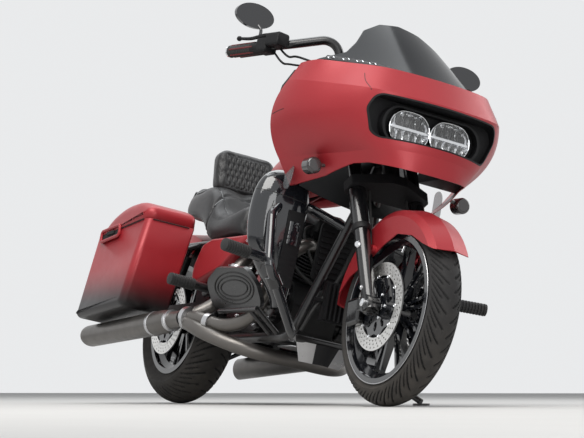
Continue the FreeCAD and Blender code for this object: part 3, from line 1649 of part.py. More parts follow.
def rear_axle_piece():
    reach = arm_centre_y + arm_width * 0.9
    pin = cylinder(axle_radius, sideways(rear_axle, -reach), sideways(rear_axle, reach))
    inner = arm_centre_y - arm_width / 2 - slip_gap
    left_near = pulley_offset + pulley_width + slip_gap
    right_near = rear_disc_offset + disc_thickness + slip_gap
    left = cylinder(axle_radius * spacer_share, sideways(rear_axle, left_near), sideways(rear_axle, inner))
    right = cylinder(
        axle_radius * spacer_share, sideways(rear_axle, -right_near), sideways(rear_axle, -inner),
    )
    hollow = cylinder(axle_bore_radius, sideways(rear_axle, -reach), sideways(rear_axle, reach))
    return fused([pin, left, right]).cut(hollow)


def shock():
    """A covered shock between the arm and the rear rail."""
    along = (shock_high - shock_low).normalize()
    length = (shock_high - shock_low).Length
    body = cylinder(shock_radius, shock_low + along * length * 0.30, shock_low + along * length * 0.92)
    reach = along * (arm_height / 2)
    rod = cylinder(shock_radius * 0.45, shock_low - reach, shock_high + reach / 2)
    return fused([body, rod])


def belt():
    """The drive belt round the rear pulley and the output pulley."""
    front = Vector(output_place.x, 0, output_place.z)
    low = pulley_offset + overrun / 3
    high = pulley_offset + pulley_width - overrun / 3
    outer = stadium(front, output_pulley_radius + belt_thickness + slip_gap, rear_axle,
                    pulley_radius + belt_thickness + slip_gap, low, high)
    inner = stadium(front, output_pulley_radius + slip_gap, rear_axle, pulley_radius + slip_gap, low, high)
    return outer.cut(inner)


def output_pulley():
    """The small belt wheel on its shaft from the crankcase."""
    front = Vector(output_place.x, 0, output_place.z)
    shaft = cylinder(axle_radius, sideways(front, 0), sideways(front, pulley_offset))
    wheel = cylinder(
        output_pulley_radius, sideways(front, pulley_offset), sideways(front, pulley_offset + pulley_width),
    )
    return shaft.fuse(wheel)


# Parking
def parked_matrix():
    """Leans the upright machine onto its stand, with both tyres on the ground."""
    lean = math.radians(lean_deg)
    crown_drop = 1 - math.cos(lean)
    nose = math.atan((rear_crown_radius - front_crown_radius) * crown_drop / wheelbase)
    matrix = FreeCAD.Matrix()
    matrix.rotateX(-lean)
    matrix.rotateY(nose)
    matrix.move(Vector(0, 0, rear_crown_radius * crown_drop))
    return matrix


def ground_z(x, y):
    """The upright height that lies on the ground once the machine leans."""
    matrix = parked_matrix()
    low = matrix.multiply(Vector(x, y, 0)).z
    high = matrix.multiply(Vector(x, y, front_tyre_radius)).z
    return -low * front_tyre_radius / (high - low)


def ground_normal():
    matrix = parked_matrix()
    inverse = matrix.inverse()
    return inverse.multiply(UPWARD) - inverse.multiply(ZERO)


def stand_foot():
    return Vector(stand_foot_x, stand_foot_y, ground_z(stand_foot_x, stand_foot_y))


def stand_axis():
    down = stand_foot() + ground_normal() * stand_foot_thickness - stand_pivot
    folded = stand_folded_place - stand_pivot
    return down.cross(folded).normalize()


def stand_fold_angle():
    down = stand_foot() + ground_normal() * stand_foot_thickness - stand_pivot
    folded = stand_folded_place - stand_pivot
    return math.degrees(down.getAngle(folded))


def side_stand():
    """A leg with a flat foot on the ground, turning on a pin under the frame."""
    foot = stand_foot()
    rise = ground_normal()
    pad = cylinder(stand_foot_radius, foot, foot + rise * stand_foot_thickness)
    ankle = foot + rise * (stand_foot_thickness + stand_leg_radius * 0.4)
    leg = cylinder(stand_leg_radius, ankle, stand_pivot)
    axis = stand_axis()
    reach = axis * stand_leg_radius
    hub = cylinder(stand_leg_radius * 1.5, stand_pivot - reach, stand_pivot + reach)
    bore = cylinder(stand_pin_radius + running_gap, stand_pivot - reach * 3, stand_pivot + reach * 3)
    return fused([pad, leg, hub]).cut(bore)


def stand_bracket():
    """A pin in the stand's hub, held by a cheek above it and an arm to the cradle."""
    axis = stand_axis()
    reach = stand_leg_radius + part_gap
    pin = cylinder(stand_pin_radius, stand_pivot - axis * reach, stand_pivot + axis * reach * 1.6)
    cheek = cylinder(stand_leg_radius * 1.4, stand_pivot + axis * reach, stand_pivot + axis * reach * 3.4)
    top = stand_pivot + axis * reach * 3.0
    arm = cylinder(stand_leg_radius * 0.75, top, Vector(top.x, cradle_half_width, cradle_height))
    return [pin, cheek, arm]


def chassis_nodes():
    chassis = fused([frame()] + stand_bracket())
    front_cylinder = engine_cylinder(1)
    rear_cylinder = engine_cylinder(-1)
    cam = cam_cover()
    rods = [rod.cut(cam) for rod in pushrods()]
    arm = swingarm()
    pipes = carried(exhaust_pipes(), front_cylinder, rear_cylinder)
    pillion = seat()
    pad_room = pillion.copy()
    pad_room.translate(UPWARD * slip_gap)
    peg = carried(passenger_peg(), chassis)
    return {
        "main_frame": chassis,
        "crankcase": fused([crankcase(), output_pulley()]),
        "cylinder_front": front_cylinder,
        "cylinder_rear": rear_cylinder,
        "primary_cover": primary_cover(),
        "cam_cover": cam.multiFuse(rods),
        "air_cleaner": carried(air_cleaner(), front_cylinder, rear_cylinder),
        "exhaust": Part.makeCompound([pipes] + pair(muffler()).Solids),
        "oil_cooler": carried(oil_cooler(), chassis),
        "fuel_tank": fuel_tank(),
        "seat": pillion,
        "rider_backrest": carried(backrest(), pad_room),
        "side_covers": pair(side_cover()),
        "rear_fender": rear_fender(),
        "tail_lamp": tail_lamp(),
        "lower_fairings": pair(lower_fairing()),
        "engine_guard": pair(carried(engine_guard(), chassis)),
        "footrests": Part.makeCompound([
            carried(floorboard(0.0), chassis),
            mirrored(carried(floorboard(board_raised_deg), chassis)),
            peg, mirrored(peg),
        ]),
        "swingarm": arm,
        "rear_axle": rear_axle_piece(),
        "rear_caliper": rear_caliper(),
        "shock_absorbers": pair(carried(shock(), arm, chassis)),
        "drive_belt": belt(),
    }


def fairing_nodes():
    outer = fairing_body(0.0)
    inner = fairing_body(fairing_wall)
    liner = fairing_body(fairing_wall + slip_gap)
    return {
        "fairing_shell": fairing_shell(outer, inner),
        "headlight_bezel": lamp_bezel(outer),
        "headlamps": pair(headlamp()),
        "windshield": windshield(),
        "inner_fairing": inner_fairing(liner),
        "front_turn_signals": pair(front_signal(outer)),
    }


def steering_nodes():
    clamps = triple_clamps()
    bar = handlebar().cut(clamps)
    return {
        "fork_legs": pair(fork_leg()),
        "triple_clamps": clamps,
        "handlebar": bar,
        "hand_controls": pair(carried(hand_control()[0], bar)),
        "mirrors": pair(mirror()),
        "front_fender": front_fender(),
        "front_axle": front_axle_piece(),
        "front_calipers": pair(front_caliper()),
    }


def wheel_nodes():
    front_disc = brake_disc(
        front_axle, front_disc_radius, front_disc_offset, front_disc_offset + disc_thickness,
    )
    return {
        "front_rim": rim(
            front_axle, front_bead_radius, front_rim_width, front_hub_radius,
            front_disc_offset - slip_gap, front_spokes,
        ),
        "front_tyre": tyre(
            front_axle, front_tyre_radius, front_crown_radius, front_bead_radius, front_rim_width,
        ),
        "front_brake_discs": pair(front_disc),
        "rear_rim": rim(
            rear_axle, rear_bead_radius, rear_rim_width,
            rear_hub_radius, rear_disc_offset - slip_gap, rear_spokes,
        ),
        "rear_tyre": tyre(rear_axle, rear_tyre_radius, rear_crown_radius, rear_bead_radius, rear_rim_width),
        "rear_brake_disc": brake_disc(
            rear_axle, rear_disc_radius, -rear_disc_offset, -rear_disc_offset - disc_thickness,
        ),
        "rear_pulley": pulley(),
    }


def luggage_nodes():
    bag = saddlebag()
    lid = bag_lid()
    nodes = {}
    for name, side in SIDES.items():
        nodes["saddlebag_" + name] = on_side(bag, side)
        nodes["saddlebag_lid_" + name] = on_side(lid, side)
    return nodes


def build():
    """All nodes of the upright machine, by name."""
    nodes = {"side_stand": side_stand()}
    for group in (chassis_nodes, fairing_nodes, steering_nodes, wheel_nodes, luggage_nodes):
        nodes.update(group())
    return nodes


def main():
    os.makedirs("parts", exist_ok=True)
    matrix = parked_matrix()
    nodes = build()
    box = FreeCAD.BoundBox()
    for shape in nodes.values():
        shape.transformShape(matrix, True)
        box.add(shape.optimalBoundingBox(False))
    shift = Vector(-box.Center.x, -box.Center.y, -box.ZMin)
    print("shift", shift.x, shift.y, shift.z)
    for name, shape in nodes.items():
        shape.translate(shift)
        shape.exportStep("parts/" + name + ".step")


if __name__ == "__main__":
    main()
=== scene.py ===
import json
from math import asin, atan, copysign, cos, hypot, pi, radians, sin, sqrt, tau
import bpy
import bmesh
import numpy as np
from mathutils import Matrix, Vector
from mathutils.bvhtree import BVHTree
from mathutils.geometry import delaunay_2d_cdt


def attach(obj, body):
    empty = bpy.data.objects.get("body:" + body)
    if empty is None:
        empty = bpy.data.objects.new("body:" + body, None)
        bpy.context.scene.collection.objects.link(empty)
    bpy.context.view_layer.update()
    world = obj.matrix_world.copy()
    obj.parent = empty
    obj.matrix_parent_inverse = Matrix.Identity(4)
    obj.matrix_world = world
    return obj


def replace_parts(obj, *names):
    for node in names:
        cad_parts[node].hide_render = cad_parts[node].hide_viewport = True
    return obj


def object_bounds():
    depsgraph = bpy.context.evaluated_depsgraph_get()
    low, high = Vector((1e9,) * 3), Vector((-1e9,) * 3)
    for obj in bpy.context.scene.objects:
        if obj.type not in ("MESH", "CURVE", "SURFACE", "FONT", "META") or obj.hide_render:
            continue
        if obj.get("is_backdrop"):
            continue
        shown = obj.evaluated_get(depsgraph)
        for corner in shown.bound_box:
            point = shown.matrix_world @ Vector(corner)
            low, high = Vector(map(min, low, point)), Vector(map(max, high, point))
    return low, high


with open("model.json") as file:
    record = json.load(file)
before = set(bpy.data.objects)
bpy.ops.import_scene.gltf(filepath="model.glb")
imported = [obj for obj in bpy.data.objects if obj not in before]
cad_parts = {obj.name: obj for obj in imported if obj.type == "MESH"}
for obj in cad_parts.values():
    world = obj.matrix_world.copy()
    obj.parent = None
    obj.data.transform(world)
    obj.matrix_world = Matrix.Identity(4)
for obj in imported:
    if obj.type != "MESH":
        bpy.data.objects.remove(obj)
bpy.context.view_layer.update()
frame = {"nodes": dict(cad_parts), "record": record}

nodes = frame["nodes"]
joints = {j["name"]: j for j in frame["record"]["behaviour"]["joints"]}

# The upright machine's own frame, in mm, taken back from the wheel joints
LEAN, WHEELBASE, FRONT_R, REAR_R = radians(11.2), 1625.0, 319.3, 320.2
drop = 1 - cos(LEAN)
PARK = Matrix.Rotation(atan(26.0 * drop / WHEELBASE), 4, "Y") @ Matrix.Rotation(-LEAN, 4, "X")
REAR = Vector(joints["rear_wheel_spin"]["pos_m"])
SHIFT = REAR - (PARK @ Vector((0, 0, REAR_R))) / 1000
UP = Matrix.Translation(SHIFT) @ PARK @ Matrix.Scale(0.001, 4)
DOWN = UP.inverted()
X, Y, Z = Vector((1, 0, 0)), Vector((0, 1, 0)), Vector((0, 0, 1))


def V(*c):
    return Vector(c)


# Materials
def tree(name):
    m = bpy.data.materials.new(name)
    m.use_nodes = True
    nt = m.node_tree
    return m, nt, nt.nodes["Principled BSDF"]


def node(nt, kind, inputs, **settings):
    """A shader node; each of its inputs is given a value or another node's output."""
    n = nt.nodes.new(kind)
    for k, v in settings.items():
        setattr(n, k, v)
    for k, v in inputs.items():
        if isinstance(v, bpy.types.NodeSocket):
            nt.links.new(v, n.inputs[k])
        else:
            n.inputs[k].default_value = v
    return n


def material(name, color, rough=0.5, metal=0.0, coat=0.0, coat_rough=0.08, var=0.08, scale=30.0, bump=0.1,
             bump_scale=400.0, rough_var=0.08, spec=0.5, sheen=0.0, alpha=1.0, ior=1.5,
             fade=None, dust=0.0, flake=0.0):
    """A surface whose colour, roughness and relief vary a little from place to place."""
    m, nt, p = tree(name)
    where = node(nt, "ShaderNodeTexCoord", {}).outputs["Object"]

    def noise(size, detail):
        inputs = {"Vector": where, "Scale": size, "Detail": detail}
        return node(nt, "ShaderNodeTexNoise", inputs).outputs["Fac"]

    def mix(share, a, b, **settings):
        return node(nt, "ShaderNodeMix", {0: share, 6: a, 7: b}, data_type="RGBA", **settings).outputs[2]

    def remap(value, low, high, to_low, to_high, **settings):
        inputs = {0: value, 1: low, 2: high, 3: to_low, 4: to_high}
        return node(nt, "ShaderNodeMapRange", inputs, **settings).outputs[0]

    big = noise(scale, 4.0)
    out = mix(big, [c * (1 - var) for c in color] + [1], [min(1, c * (1 + var)) for c in color] + [1])
    if fade:
        # paint that fades to a second colour down the upright machine
        dark, top, low = fade
        *direction, offset = DOWN.row[2]
        height = node(nt, "ShaderNodeVectorMath", {0: where, 1: direction},
                      operation="DOT_PRODUCT").outputs["Value"]
        share = remap(height, low - offset, top - offset, 0, 1, interpolation_type="SMOOTHSTEP")
        out = mix(share, dark + (1,), out)
    if dust:
        height = node(nt, "ShaderNodeSeparateXYZ", {0: where}).outputs[2]
        amount = remap(height, 0.02, 0.35, dust, 0.0)
        share = node(nt, "ShaderNodeMath", {0: amount, 1: big}, operation="MULTIPLY").outputs[0]
        out = mix(share, out, (0.30, 0.26, 0.21, 1))
    if flake:
        cells = node(nt, "ShaderNodeTexVoronoi", {"Vector": where, "Scale": 2600.0}).outputs["Color"]
        out = mix(flake, out, cells, blend_type="OVERLAY")
    nt.links.new(out, p.inputs["Base Color"])
    if rough_var:
        rough_low, rough_high = max(0.02, rough - rough_var), min(1.0, rough + rough_var)
        nt.links.new(remap(noise(scale * 3.1, 6.0), 0, 1, rough_low, rough_high), p.inputs["Roughness"])
    else:
        p.inputs["Roughness"].default_value = rough
    if bump:
        inputs = {"Height": noise(bump_scale, 3.0), "Strength": bump, "Distance": 0.001}
        nt.links.new(node(nt, "ShaderNodeBump", inputs).outputs[0], p.inputs["Normal"])
    for key, value in {"Metallic": metal, "Coat Weight": coat, "Coat Roughness": coat_rough, "IOR": ior,
                       "Specular IOR Level": spec, "Sheen Weight": sheen, "Alpha": alpha}.items():
        p.inputs[key].default_value = value
    return m


RED = (0.385, 0.020, 0.028)
SATIN = dict(rough=0.40, metal=0.25, coat=0.25, coat_rough=0.3, var=0.05, scale=8, bump=0.02, flake=0.10)
# the bags fade to black between two heights of the upright machine, in mm
BAG_FADE = ((0.012, 0.010, 0.011), 455.0, 300.0)
M = {
    "red": material("satin_red", RED, **SATIN),
    "bag_red": material("satin_red_faded", RED, fade=BAG_FADE, **SATIN),
    "gloss": material("gloss_black", (0.010, 0.011, 0.014), 0.10, coat=1.0, coat_rough=0.04, var=0.1,
                      bump=0.015),
    "frame": material("frame_black", (0.006, 0.006, 0.007), 0.30, coat=0.3, dust=0.08, bump=0.05),
    "engine": material("engine_black", (0.010, 0.010, 0.011), 0.45, 0.2, var=0.25, bump=0.25,
                       bump_scale=900, dust=0.12),
    "cover": material("cover_black", (0.007, 0.007, 0.008), 0.20, 0.1, coat=0.6, dust=0.06, bump=0.03),
    "plastic": material("black_plastic", (0.007, 0.007, 0.008), 0.55, spec=0.3, var=0.15, bump=0.35,
                        bump_scale=1500),
    "dark": material("deep_black", (0.004, 0.004, 0.004), 0.8, bump=0.1),
    "exhaust": material("exhaust_grey", (0.16, 0.15, 0.14), 0.36, 0.8, var=0.22, scale=12, bump=0.08,
                        rough_var=0.12),
    "chrome": material("chrome", (0.80, 0.81, 0.83), 0.08, 1.0, var=0.03, bump=0.0, rough_var=0.03),
    "alu": material("machined_metal", (0.55, 0.55, 0.56), 0.30, 1.0, var=0.1, bump=0.1, bump_scale=1800),
    "disc": material("disc_steel", (0.80, 0.79, 0.77), 0.30, 1.0, var=0.12, scale=60, bump=0.12,
                     bump_scale=2200),
    "tyre": material("tyre_rubber", (0.022, 0.021, 0.021), 0.70, var=0.25, scale=25, bump=0.3,
                     bump_scale=1400,
                     dust=0.22, spec=0.35),
    "rubber": material("black_rubber", (0.018, 0.018, 0.018), 0.62, var=0.2, bump=0.3, bump_scale=1300),
    "leather": material("seat_leather", (0.008, 0.008, 0.009), 0.40, var=0.25, scale=18, bump=0.55,
                        bump_scale=620,
                        rough_var=0.12, sheen=0.1),
    "redgrip": material("grip_red", (0.13, 0.012, 0.014), 0.5, bump=0.2),
    "lens": material("red_lens", (0.40, 0.012, 0.012), 0.12, coat=0.8, bump=0.05),
    "smoke": material("smoked_lens", (0.030, 0.026, 0.026), 0.10, coat=1.0, bump=0.04),
    "seam": material("seam_black", (0.006, 0.005, 0.005), 0.6, bump=0.05),
    "glass": material("clear_glass", (0.96, 0.97, 0.98), 0.03, var=0.0, bump=0.0, rough_var=0.0, alpha=0.16,
                      coat=0.6),
    "screen": material("smoked_screen", (0.004, 0.005, 0.007), 0.14, var=0.05, bump=0.0, rough_var=0.02,
                       alpha=0.985,
                       spec=0.30, ior=1.22),
    "tint": material("tinted_plastic", (0.16, 0.17, 0.18), 0.12, var=0.03, bump=0.0, rough_var=0.02,
                     alpha=0.42),
    "mirror": material("mirror_glass", (0.78, 0.80, 0.82), 0.03, 1.0, var=0.02, bump=0.0, rough_var=0.0),
    "dial": material("dial_black", (0.012, 0.012, 0.013), 0.35, bump=0.02),
    "white": material("dial_white", (0.75, 0.75, 0.72), 0.5, bump=0.0),
    "belt": material("belt_rubber", (0.016, 0.016, 0.016), 0.7, bump=0.4, bump_scale=700),
}


# Mesh helpers
def grid_faces(rows, cols, wrap=True):
    """The four-sided faces between rows of places; wrap joins the ends of each row."""
    return [[i * cols + k, i * cols + (k + 1) % cols, (i + 1) * cols + (k + 1) % cols, (i + 1) * cols + k]
            for i in range(rows - 1) for k in range(cols if wrap else cols - 1)]


def caps(rows, cols):
    """The faces that close the first and the last row."""
    return [list(range(cols))[::-1], [(rows - 1) * cols + k for k in range(cols)]]


def skin(rows, cols, wrap=True):
    return grid_faces(rows, cols, wrap) + caps(rows, cols)


def finish_object(name, verts, faces, mat, body, angle=40):
    """Makes an object from places in the upright frame, in mm."""
    mesh = bpy.data.meshes.new(name)
    mesh.from_pydata([tuple(UP @ Vector(v)) for v in verts], [], [tuple(f) for f in faces])
    mesh.update()
    bm = bmesh.new()
    bm.from_mesh(mesh)
    bmesh.ops.remove_doubles(bm, verts=bm.verts, dist=1e-6)
    bmesh.ops.recalc_face_normals(bm, faces=bm.faces)
    bm.to_mesh(mesh)
    bm.free()
    mesh.shade_smooth()
    mesh.set_sharp_from_angle(angle=radians(angle))
    o = bpy.data.objects.new(name, mesh)
    bpy.context.collection.objects.link(o)
    mesh.materials.append(M[mat])
    if body:
        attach(o, body)
    return o


class Batch:
    """Small pieces of one material on one body, gathered into one mesh, on the chassis unless said."""

    def __init__(self, name, mat, slot, body="chassis", angle=40):
        self.name, self.mat, self.body, self.slot, self.angle = name, mat, body, slot, angle
        self.v, self.f = [], []

    def add(self, verts, faces):
        base = len(self.v)
        self.v += [Vector(v) for v in verts]
        self.f += [[i + base for i in f] for f in faces]
        return self

    def both(self, verts, faces):
        self.add(verts, faces)
        return self.add([Vector((v[0], -v[1], v[2])) for v in verts], [list(reversed(f)) for f in faces])

    def make(self):
        return finish_object(self.name, self.v, self.f, self.mat, self.body, angle=self.angle)


def make_all(*batches):
    for batch in batches:
        batch.make()


def basis(axis):
    """Two directions across an axis, and the axis."""
    w = Vector(axis).normalized()
    u = w.cross(Z if abs(w.z) < 0.9 else X).normalized()
    return u, w.cross(u), w


def around(centre, u, v, r, n, phase=0.0):
    """Places round a circle across two directions."""
    centre = Vector(centre)
    turns = [tau * k / n + phase for k in range(n)]
    return [centre + (u * cos(a) + v * sin(a)) * r for a in turns]


def lathe(profile, centre, axis, n=32, closed=False):
    """A turned shape from (radius, height) pairs along an axis."""
    u, v, w = basis(axis)
    verts = []
    for r, h in profile:
        verts += around(Vector(centre) + w * h, u, v, r, n)
    rows = len(profile)
    if closed:
        return verts, [[i % (rows * n) for i in f] for f in grid_faces(rows + 1, n)]
    return verts, skin(rows, n)


def bolt(centre, axis, r=6.0, h=5.0):
    """A hexagon head with a chamfer on a washer."""
    u, v, w = basis(axis)
    verts = []
    for rad, rise in ((r, 0.0), (r, h * 0.75), (r * 0.82, h)):
        verts += around(Vector(centre) + w * rise, u, v, rad, 6)
    faces = grid_faces(3, 6) + [[12 + k for k in range(6)]]
    washer, washer_faces = lathe([(r * 1.35, -1.0), (r * 1.35, 1.0), (r * 1.2, 1.4)], centre, axis, 20)
    base = len(verts)
    return verts + washer, faces + [[i + base for i in f] for f in washer_faces]


def cap_screw(centre, axis, r=5.0, h=5.0):
    """A round head with a socket."""
    return lathe([(r, 0), (r, h * 0.85), (r * 0.9, h), (r * 0.5, h), (r * 0.5, h * 0.4)], centre, axis, 18)


def smooth_path(points, per=8):
    """Catmull-Rom points through a run."""
    p = [Vector(q) for q in points]
    p = [p[0] * 2 - p[1]] + p + [p[-1] * 2 - p[-2]]
    out = []
    for i in range(1, len(p) - 2):
        for k in range(per):
            t = k / per
            a, b, c, d = p[i - 1:i + 3]
            out.append(0.5 * ((2 * b) + (c - a) * t + (2 * a - 5 * b + 4 * c - d) * t * t
                              + (3 * b - a - 3 * c + d) * t ** 3))
    out.append(p[-2])
    return out


def tube(points, r, n=12, smooth=True, radii=None, cap=True):
    """A round bar along a run; radii gives the radius from the share of the way."""
    path = smooth_path(points) if smooth else [Vector(q) for q in points]
    last = len(path) - 1
    verts = []
    u = basis((path[1] - path[0]).normalized())[0]
    for i, q in enumerate(path):
        t = (path[min(i + 1, last)] - path[max(i - 1, 0)]).normalized()
        u = (u - t * u.dot(t)).normalized()
        v = t.cross(u)
        verts += around(q, u, v, radii(i / last) if radii else r, n)
    return verts, (skin if cap else grid_faces)(len(path), n)


def slab(outline, start, end, axis, bevel):
    """A closed outline of (a, b) places given thickness along an axis of the upright frame."""
    ca = sum(p[0] for p in outline) / len(outline)
    cb = sum(p[1] for p in outline) / len(outline)
    sign = 1 if end > start else -1
    levels = [(0.0, start), (0.0, end - sign * bevel), (bevel, end)]
    verts = []
    for inset, t in levels:
        for a, b in outline:
            k = 1 - inset / (hypot(a - ca, b - cb) or 1)
            place = [ca + (a - ca) * k, cb + (b - cb) * k]
            place.insert(axis, t)
            verts.append(place)
    return verts, skin(len(levels), len(outline))


def corner(a, p, b, r, n):
    """Places along a rounded corner at p, between its neighbours a and b."""
    a, p, b = Vector(a), Vector(p), Vector(b)
    d = min(r, (a - p).length * 0.45, (b - p).length * 0.45)
    s, e = p + (a - p).normalized() * d, p + (b - p).normalized() * d
    out = []
    for k in range(n + 1):
        t = k / n
        q = s * (1 - t) ** 2 + p * 2 * t * (1 - t) + e * t * t
        out.append((q.x, q.y))
    return out


def rounded(points, r, n=5):
    """Rounds the corners of a closed outline of (a, b) places."""
    m = len(points)
    out = []
    for i in range(m):
        out += corner(points[i - 1], points[i], points[(i + 1) % m], r, n)
    return out


def open_rounded(points, r, n=7):
    """A run of (x, z) places with its inner corners rounded."""
    out = [tuple(points[0])]
    for i in range(1, len(points) - 1):
        out += corner(points[i - 1], points[i], points[i + 1], r, n)
    return out + [tuple(points[-1])]


def box(a0, b0, a1, b1, r, n=5):
    """The outline of a rectangle with rounded corners."""
    return rounded([(a0, b0), (a1, b0), (a1, b1), (a0, b1)], r, n)


def surface(*names):
    """A search tree over CAD nodes, in the upright frame."""
    verts, faces = [], []
    for name in names:
        mesh = nodes[name].data
        base = len(verts)
        verts += [DOWN @ v.co for v in mesh.vertices]
        faces += [[i + base for i in p.vertices] for p in mesh.polygons]
    return BVHTree.FromPolygons(verts, faces)


def drape(bvh, start, direction, reach=2000.0):
    """The place and normal where a ray meets a surface."""
    hit, normal, _, _ = bvh.ray_cast(Vector(start), Vector(direction).normalized(), reach)
    if hit is None:
        return None
    if normal.dot(Vector(direction)) > 0:
        normal = -normal
    return hit, normal


def strip(bvh, points, direction, width, lift=0.8, thick=1.2, taper=False):
    """A narrow raised band that follows a surface along a run of points."""
    hits = [drape(bvh, q, direction) for q in smooth_path(points, 6)]
    hits = [h for h in hits if h]
    count = len(hits)
    if count < 3:
        return [], []
    verts = []
    for i, (q, nrm) in enumerate(hits):
        t = (hits[min(i + 1, count - 1)][0] - hits[max(i - 1, 0)][0]).normalized()
        s = nrm.cross(t).normalized()
        w = width / 2
        if taper:
            w *= max(0.08, sin(pi * (i + 0.5) / count) ** 0.35)
        for across, rise in ((-w, -thick), (-w, lift * 0.6), (-w * 0.8, lift),
                             (w * 0.8, lift), (w, lift * 0.6), (w, -thick)):
            verts.append(q + s * across + nrm * rise)
    return verts, skin(count, 6)


def paint(name, mat):
    o = nodes[name]
    if not o.material_slots:
        o.data.materials.append(M[mat])
    for place in o.material_slots:
        place.material = M[mat]


# the material of each CAD node
PAINT = {
    "frame": "main_frame swingarm footrests shock_absorbers handlebar side_stand",
    "gloss": "engine_guard lower_fairings mirrors front_rim rear_rim",
    "engine": "crankcase cylinder_front cylinder_rear",
    "cover": "primary_cover cam_cover air_cleaner rear_caliper fork_legs front_calipers rear_pulley",
    "exhaust": "exhaust",
    "plastic": "oil_cooler headlight_bezel inner_fairing triple_clamps hand_controls",
    "red": "fuel_tank side_covers rear_fender fairing_shell front_fender",
    "bag_red": "saddlebag_left saddlebag_right saddlebag_lid_left saddlebag_lid_right",
    "leather": "seat rider_backrest",
    "lens": "tail_lamp",
    "chrome": "rear_axle headlamps front_axle",
    "belt": "drive_belt",
    "screen": "windshield",
    "smoke": "front_turn_signals",
    "tyre": "front_tyre rear_tyre",
    "disc": "front_brake_discs rear_brake_disc",
}
for mat, names in PAINT.items():
    for name in names.split():
        paint(name, mat)

# Camera, floor and light
cam_data = bpy.data.cameras.new("camera")
SENSOR, FOCAL_PIXELS, PHOTO_WIDTH = 36.0, 2298.33, 584
cam_data.sensor_width, cam_data.lens = SENSOR, FOCAL_PIXELS / PHOTO_WIDTH * SENSOR
cam_data.clip_end = 100
cam = bpy.data.objects.new("camera", cam_data)
bpy.context.collection.objects.link(cam)
cam.location = Vector((8.21832, -3.80850, 0.06441)) + Vector((SHIFT.x, SHIFT.y, 0))
yaw, pitch, roll = 2.657775, 0.072958, 0.0020035
look = Vector((cos(pitch) * cos(yaw), cos(pitch) * sin(yaw), sin(pitch)))
right = look.cross(Z).normalized()
upv = right.cross(look)
r2 = right * cos(roll) + upv * sin(roll)
u2 = upv * cos(roll) - right * sin(roll)
cam.matrix_world = Matrix.Translation(cam.location) @ Matrix((r2, u2, -look)).transposed().to_4x4()
bpy.context.scene.camera = cam

FLOOR = 14
floor_mat = material("pale_floor", (0.62, 0.615, 0.60), 0.75, var=0.03, scale=3, bump=0.05)
fm = bpy.data.meshes.new("floor")
fm.from_pydata([(-FLOOR, -FLOOR, 0), (FLOOR, -FLOOR, 0), (FLOOR, FLOOR, 0), (-FLOOR, FLOOR, 0)], [],
               [(0, 1, 2, 3)])
floor = bpy.data.objects.new("floor", fm)
bpy.context.collection.objects.link(floor)
fm.materials.append(floor_mat)
floor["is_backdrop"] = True

world = bpy.data.worlds.new("studio")
bpy.context.scene.world = world
world.use_nodes = True
wn = world.node_tree
STUDIO, BACKDROP = {0: (0.80, 0.82, 0.86, 1), 1: 0.36}, {0: (0.86, 0.87, 0.88, 1), 1: 0.95}
lp = node(wn, "ShaderNodeLightPath", {})
# the camera, and what metal and glass show, see the pale backdrop
seen = lp.outputs["Is Camera Ray"]
for ray in ("Is Glossy Ray", "Is Transmission Ray"):
    seen = node(wn, "ShaderNodeMath", {0: seen, 1: lp.outputs[ray]}, operation="MAXIMUM").outputs[0]
dim, pale = (node(wn, "ShaderNodeBackground", values).outputs[0] for values in (STUDIO, BACKDROP))
sky = node(wn, "ShaderNodeMixShader", {0: seen, 1: dim, 2: pale})
wn.links.new(sky.outputs[0], wn.nodes["World Output"].inputs[0])


def area(name, place, target, size, power, color=(1, 1, 1)):
    d = bpy.data.lights.new(name, "AREA")
    d.energy, d.size, d.color = power, size, color
    o = bpy.data.objects.new(name, d)
    o.location = place
    o.rotation_euler = (Vector(target) - Vector(place)).to_track_quat("-Z", "Y").to_euler()
    bpy.context.collection.objects.link(o)


area("key", (2.2, -2.4, 4.6), (0, 0, 0.5), 3.2, 190, (1.0, 0.98, 0.95))
area("top", (-1.5, 0.5, 5.0), (0, 0, 0.6), 4.0, 120, (0.95, 0.98, 1.0))
area("front_fill", (6.0, -1.5, 1.8), (0, 0, 0.6), 2.5, 55)
area("left_fill", (0.5, 5.0, 3.0), (0, 0, 0.6), 3.0, 60)
bpy.context.scene.view_settings.view_transform = "Standard"

# Tyres with grooved tread
GROOVE_DEPTH = 5.0
# groove faces deeper than this are painted black: painted shade in the grooves
GROOVE_SHADE_SUM = 10.5  # the sum of the depths at a face's corners above which it is dark
# each groove's place as a share of the pitch, half its width in mm, and where it starts and ends
GROOVES = ((0.0, 3.9, 0.08, 0.90), (0.46, 3.2, 0.36, 0.86))


def groove_depth(th, s, half, count, pitch, sweep):
    """How deep the grooves are all round, s mm along the tread from its middle."""
    depth = np.zeros(len(th))
    k = abs(s) / half
    if not 0.05 < k < 0.93:
        return depth
    for sgn in (1, -1):
        if s * sgn < 0:
            continue
        off = sweep * (k ** 1.5) + (0.5 if sgn < 0 else 0.0) * tau / count
        for share, wide, k0, k1 in GROOVES:
            if not k0 < k < k1:
                continue
            ph = (th - off - share * tau / count) * count / tau
            d = np.abs(ph - np.round(ph)) * pitch
            edge = min(1.0, (k - k0) / 0.06, (k1 - k) / 0.08)
            depth = np.maximum(depth, np.clip((wide * edge + 0.9 - d) / 1.4, 0, 1) * GROOVE_DEPTH)
    return depth


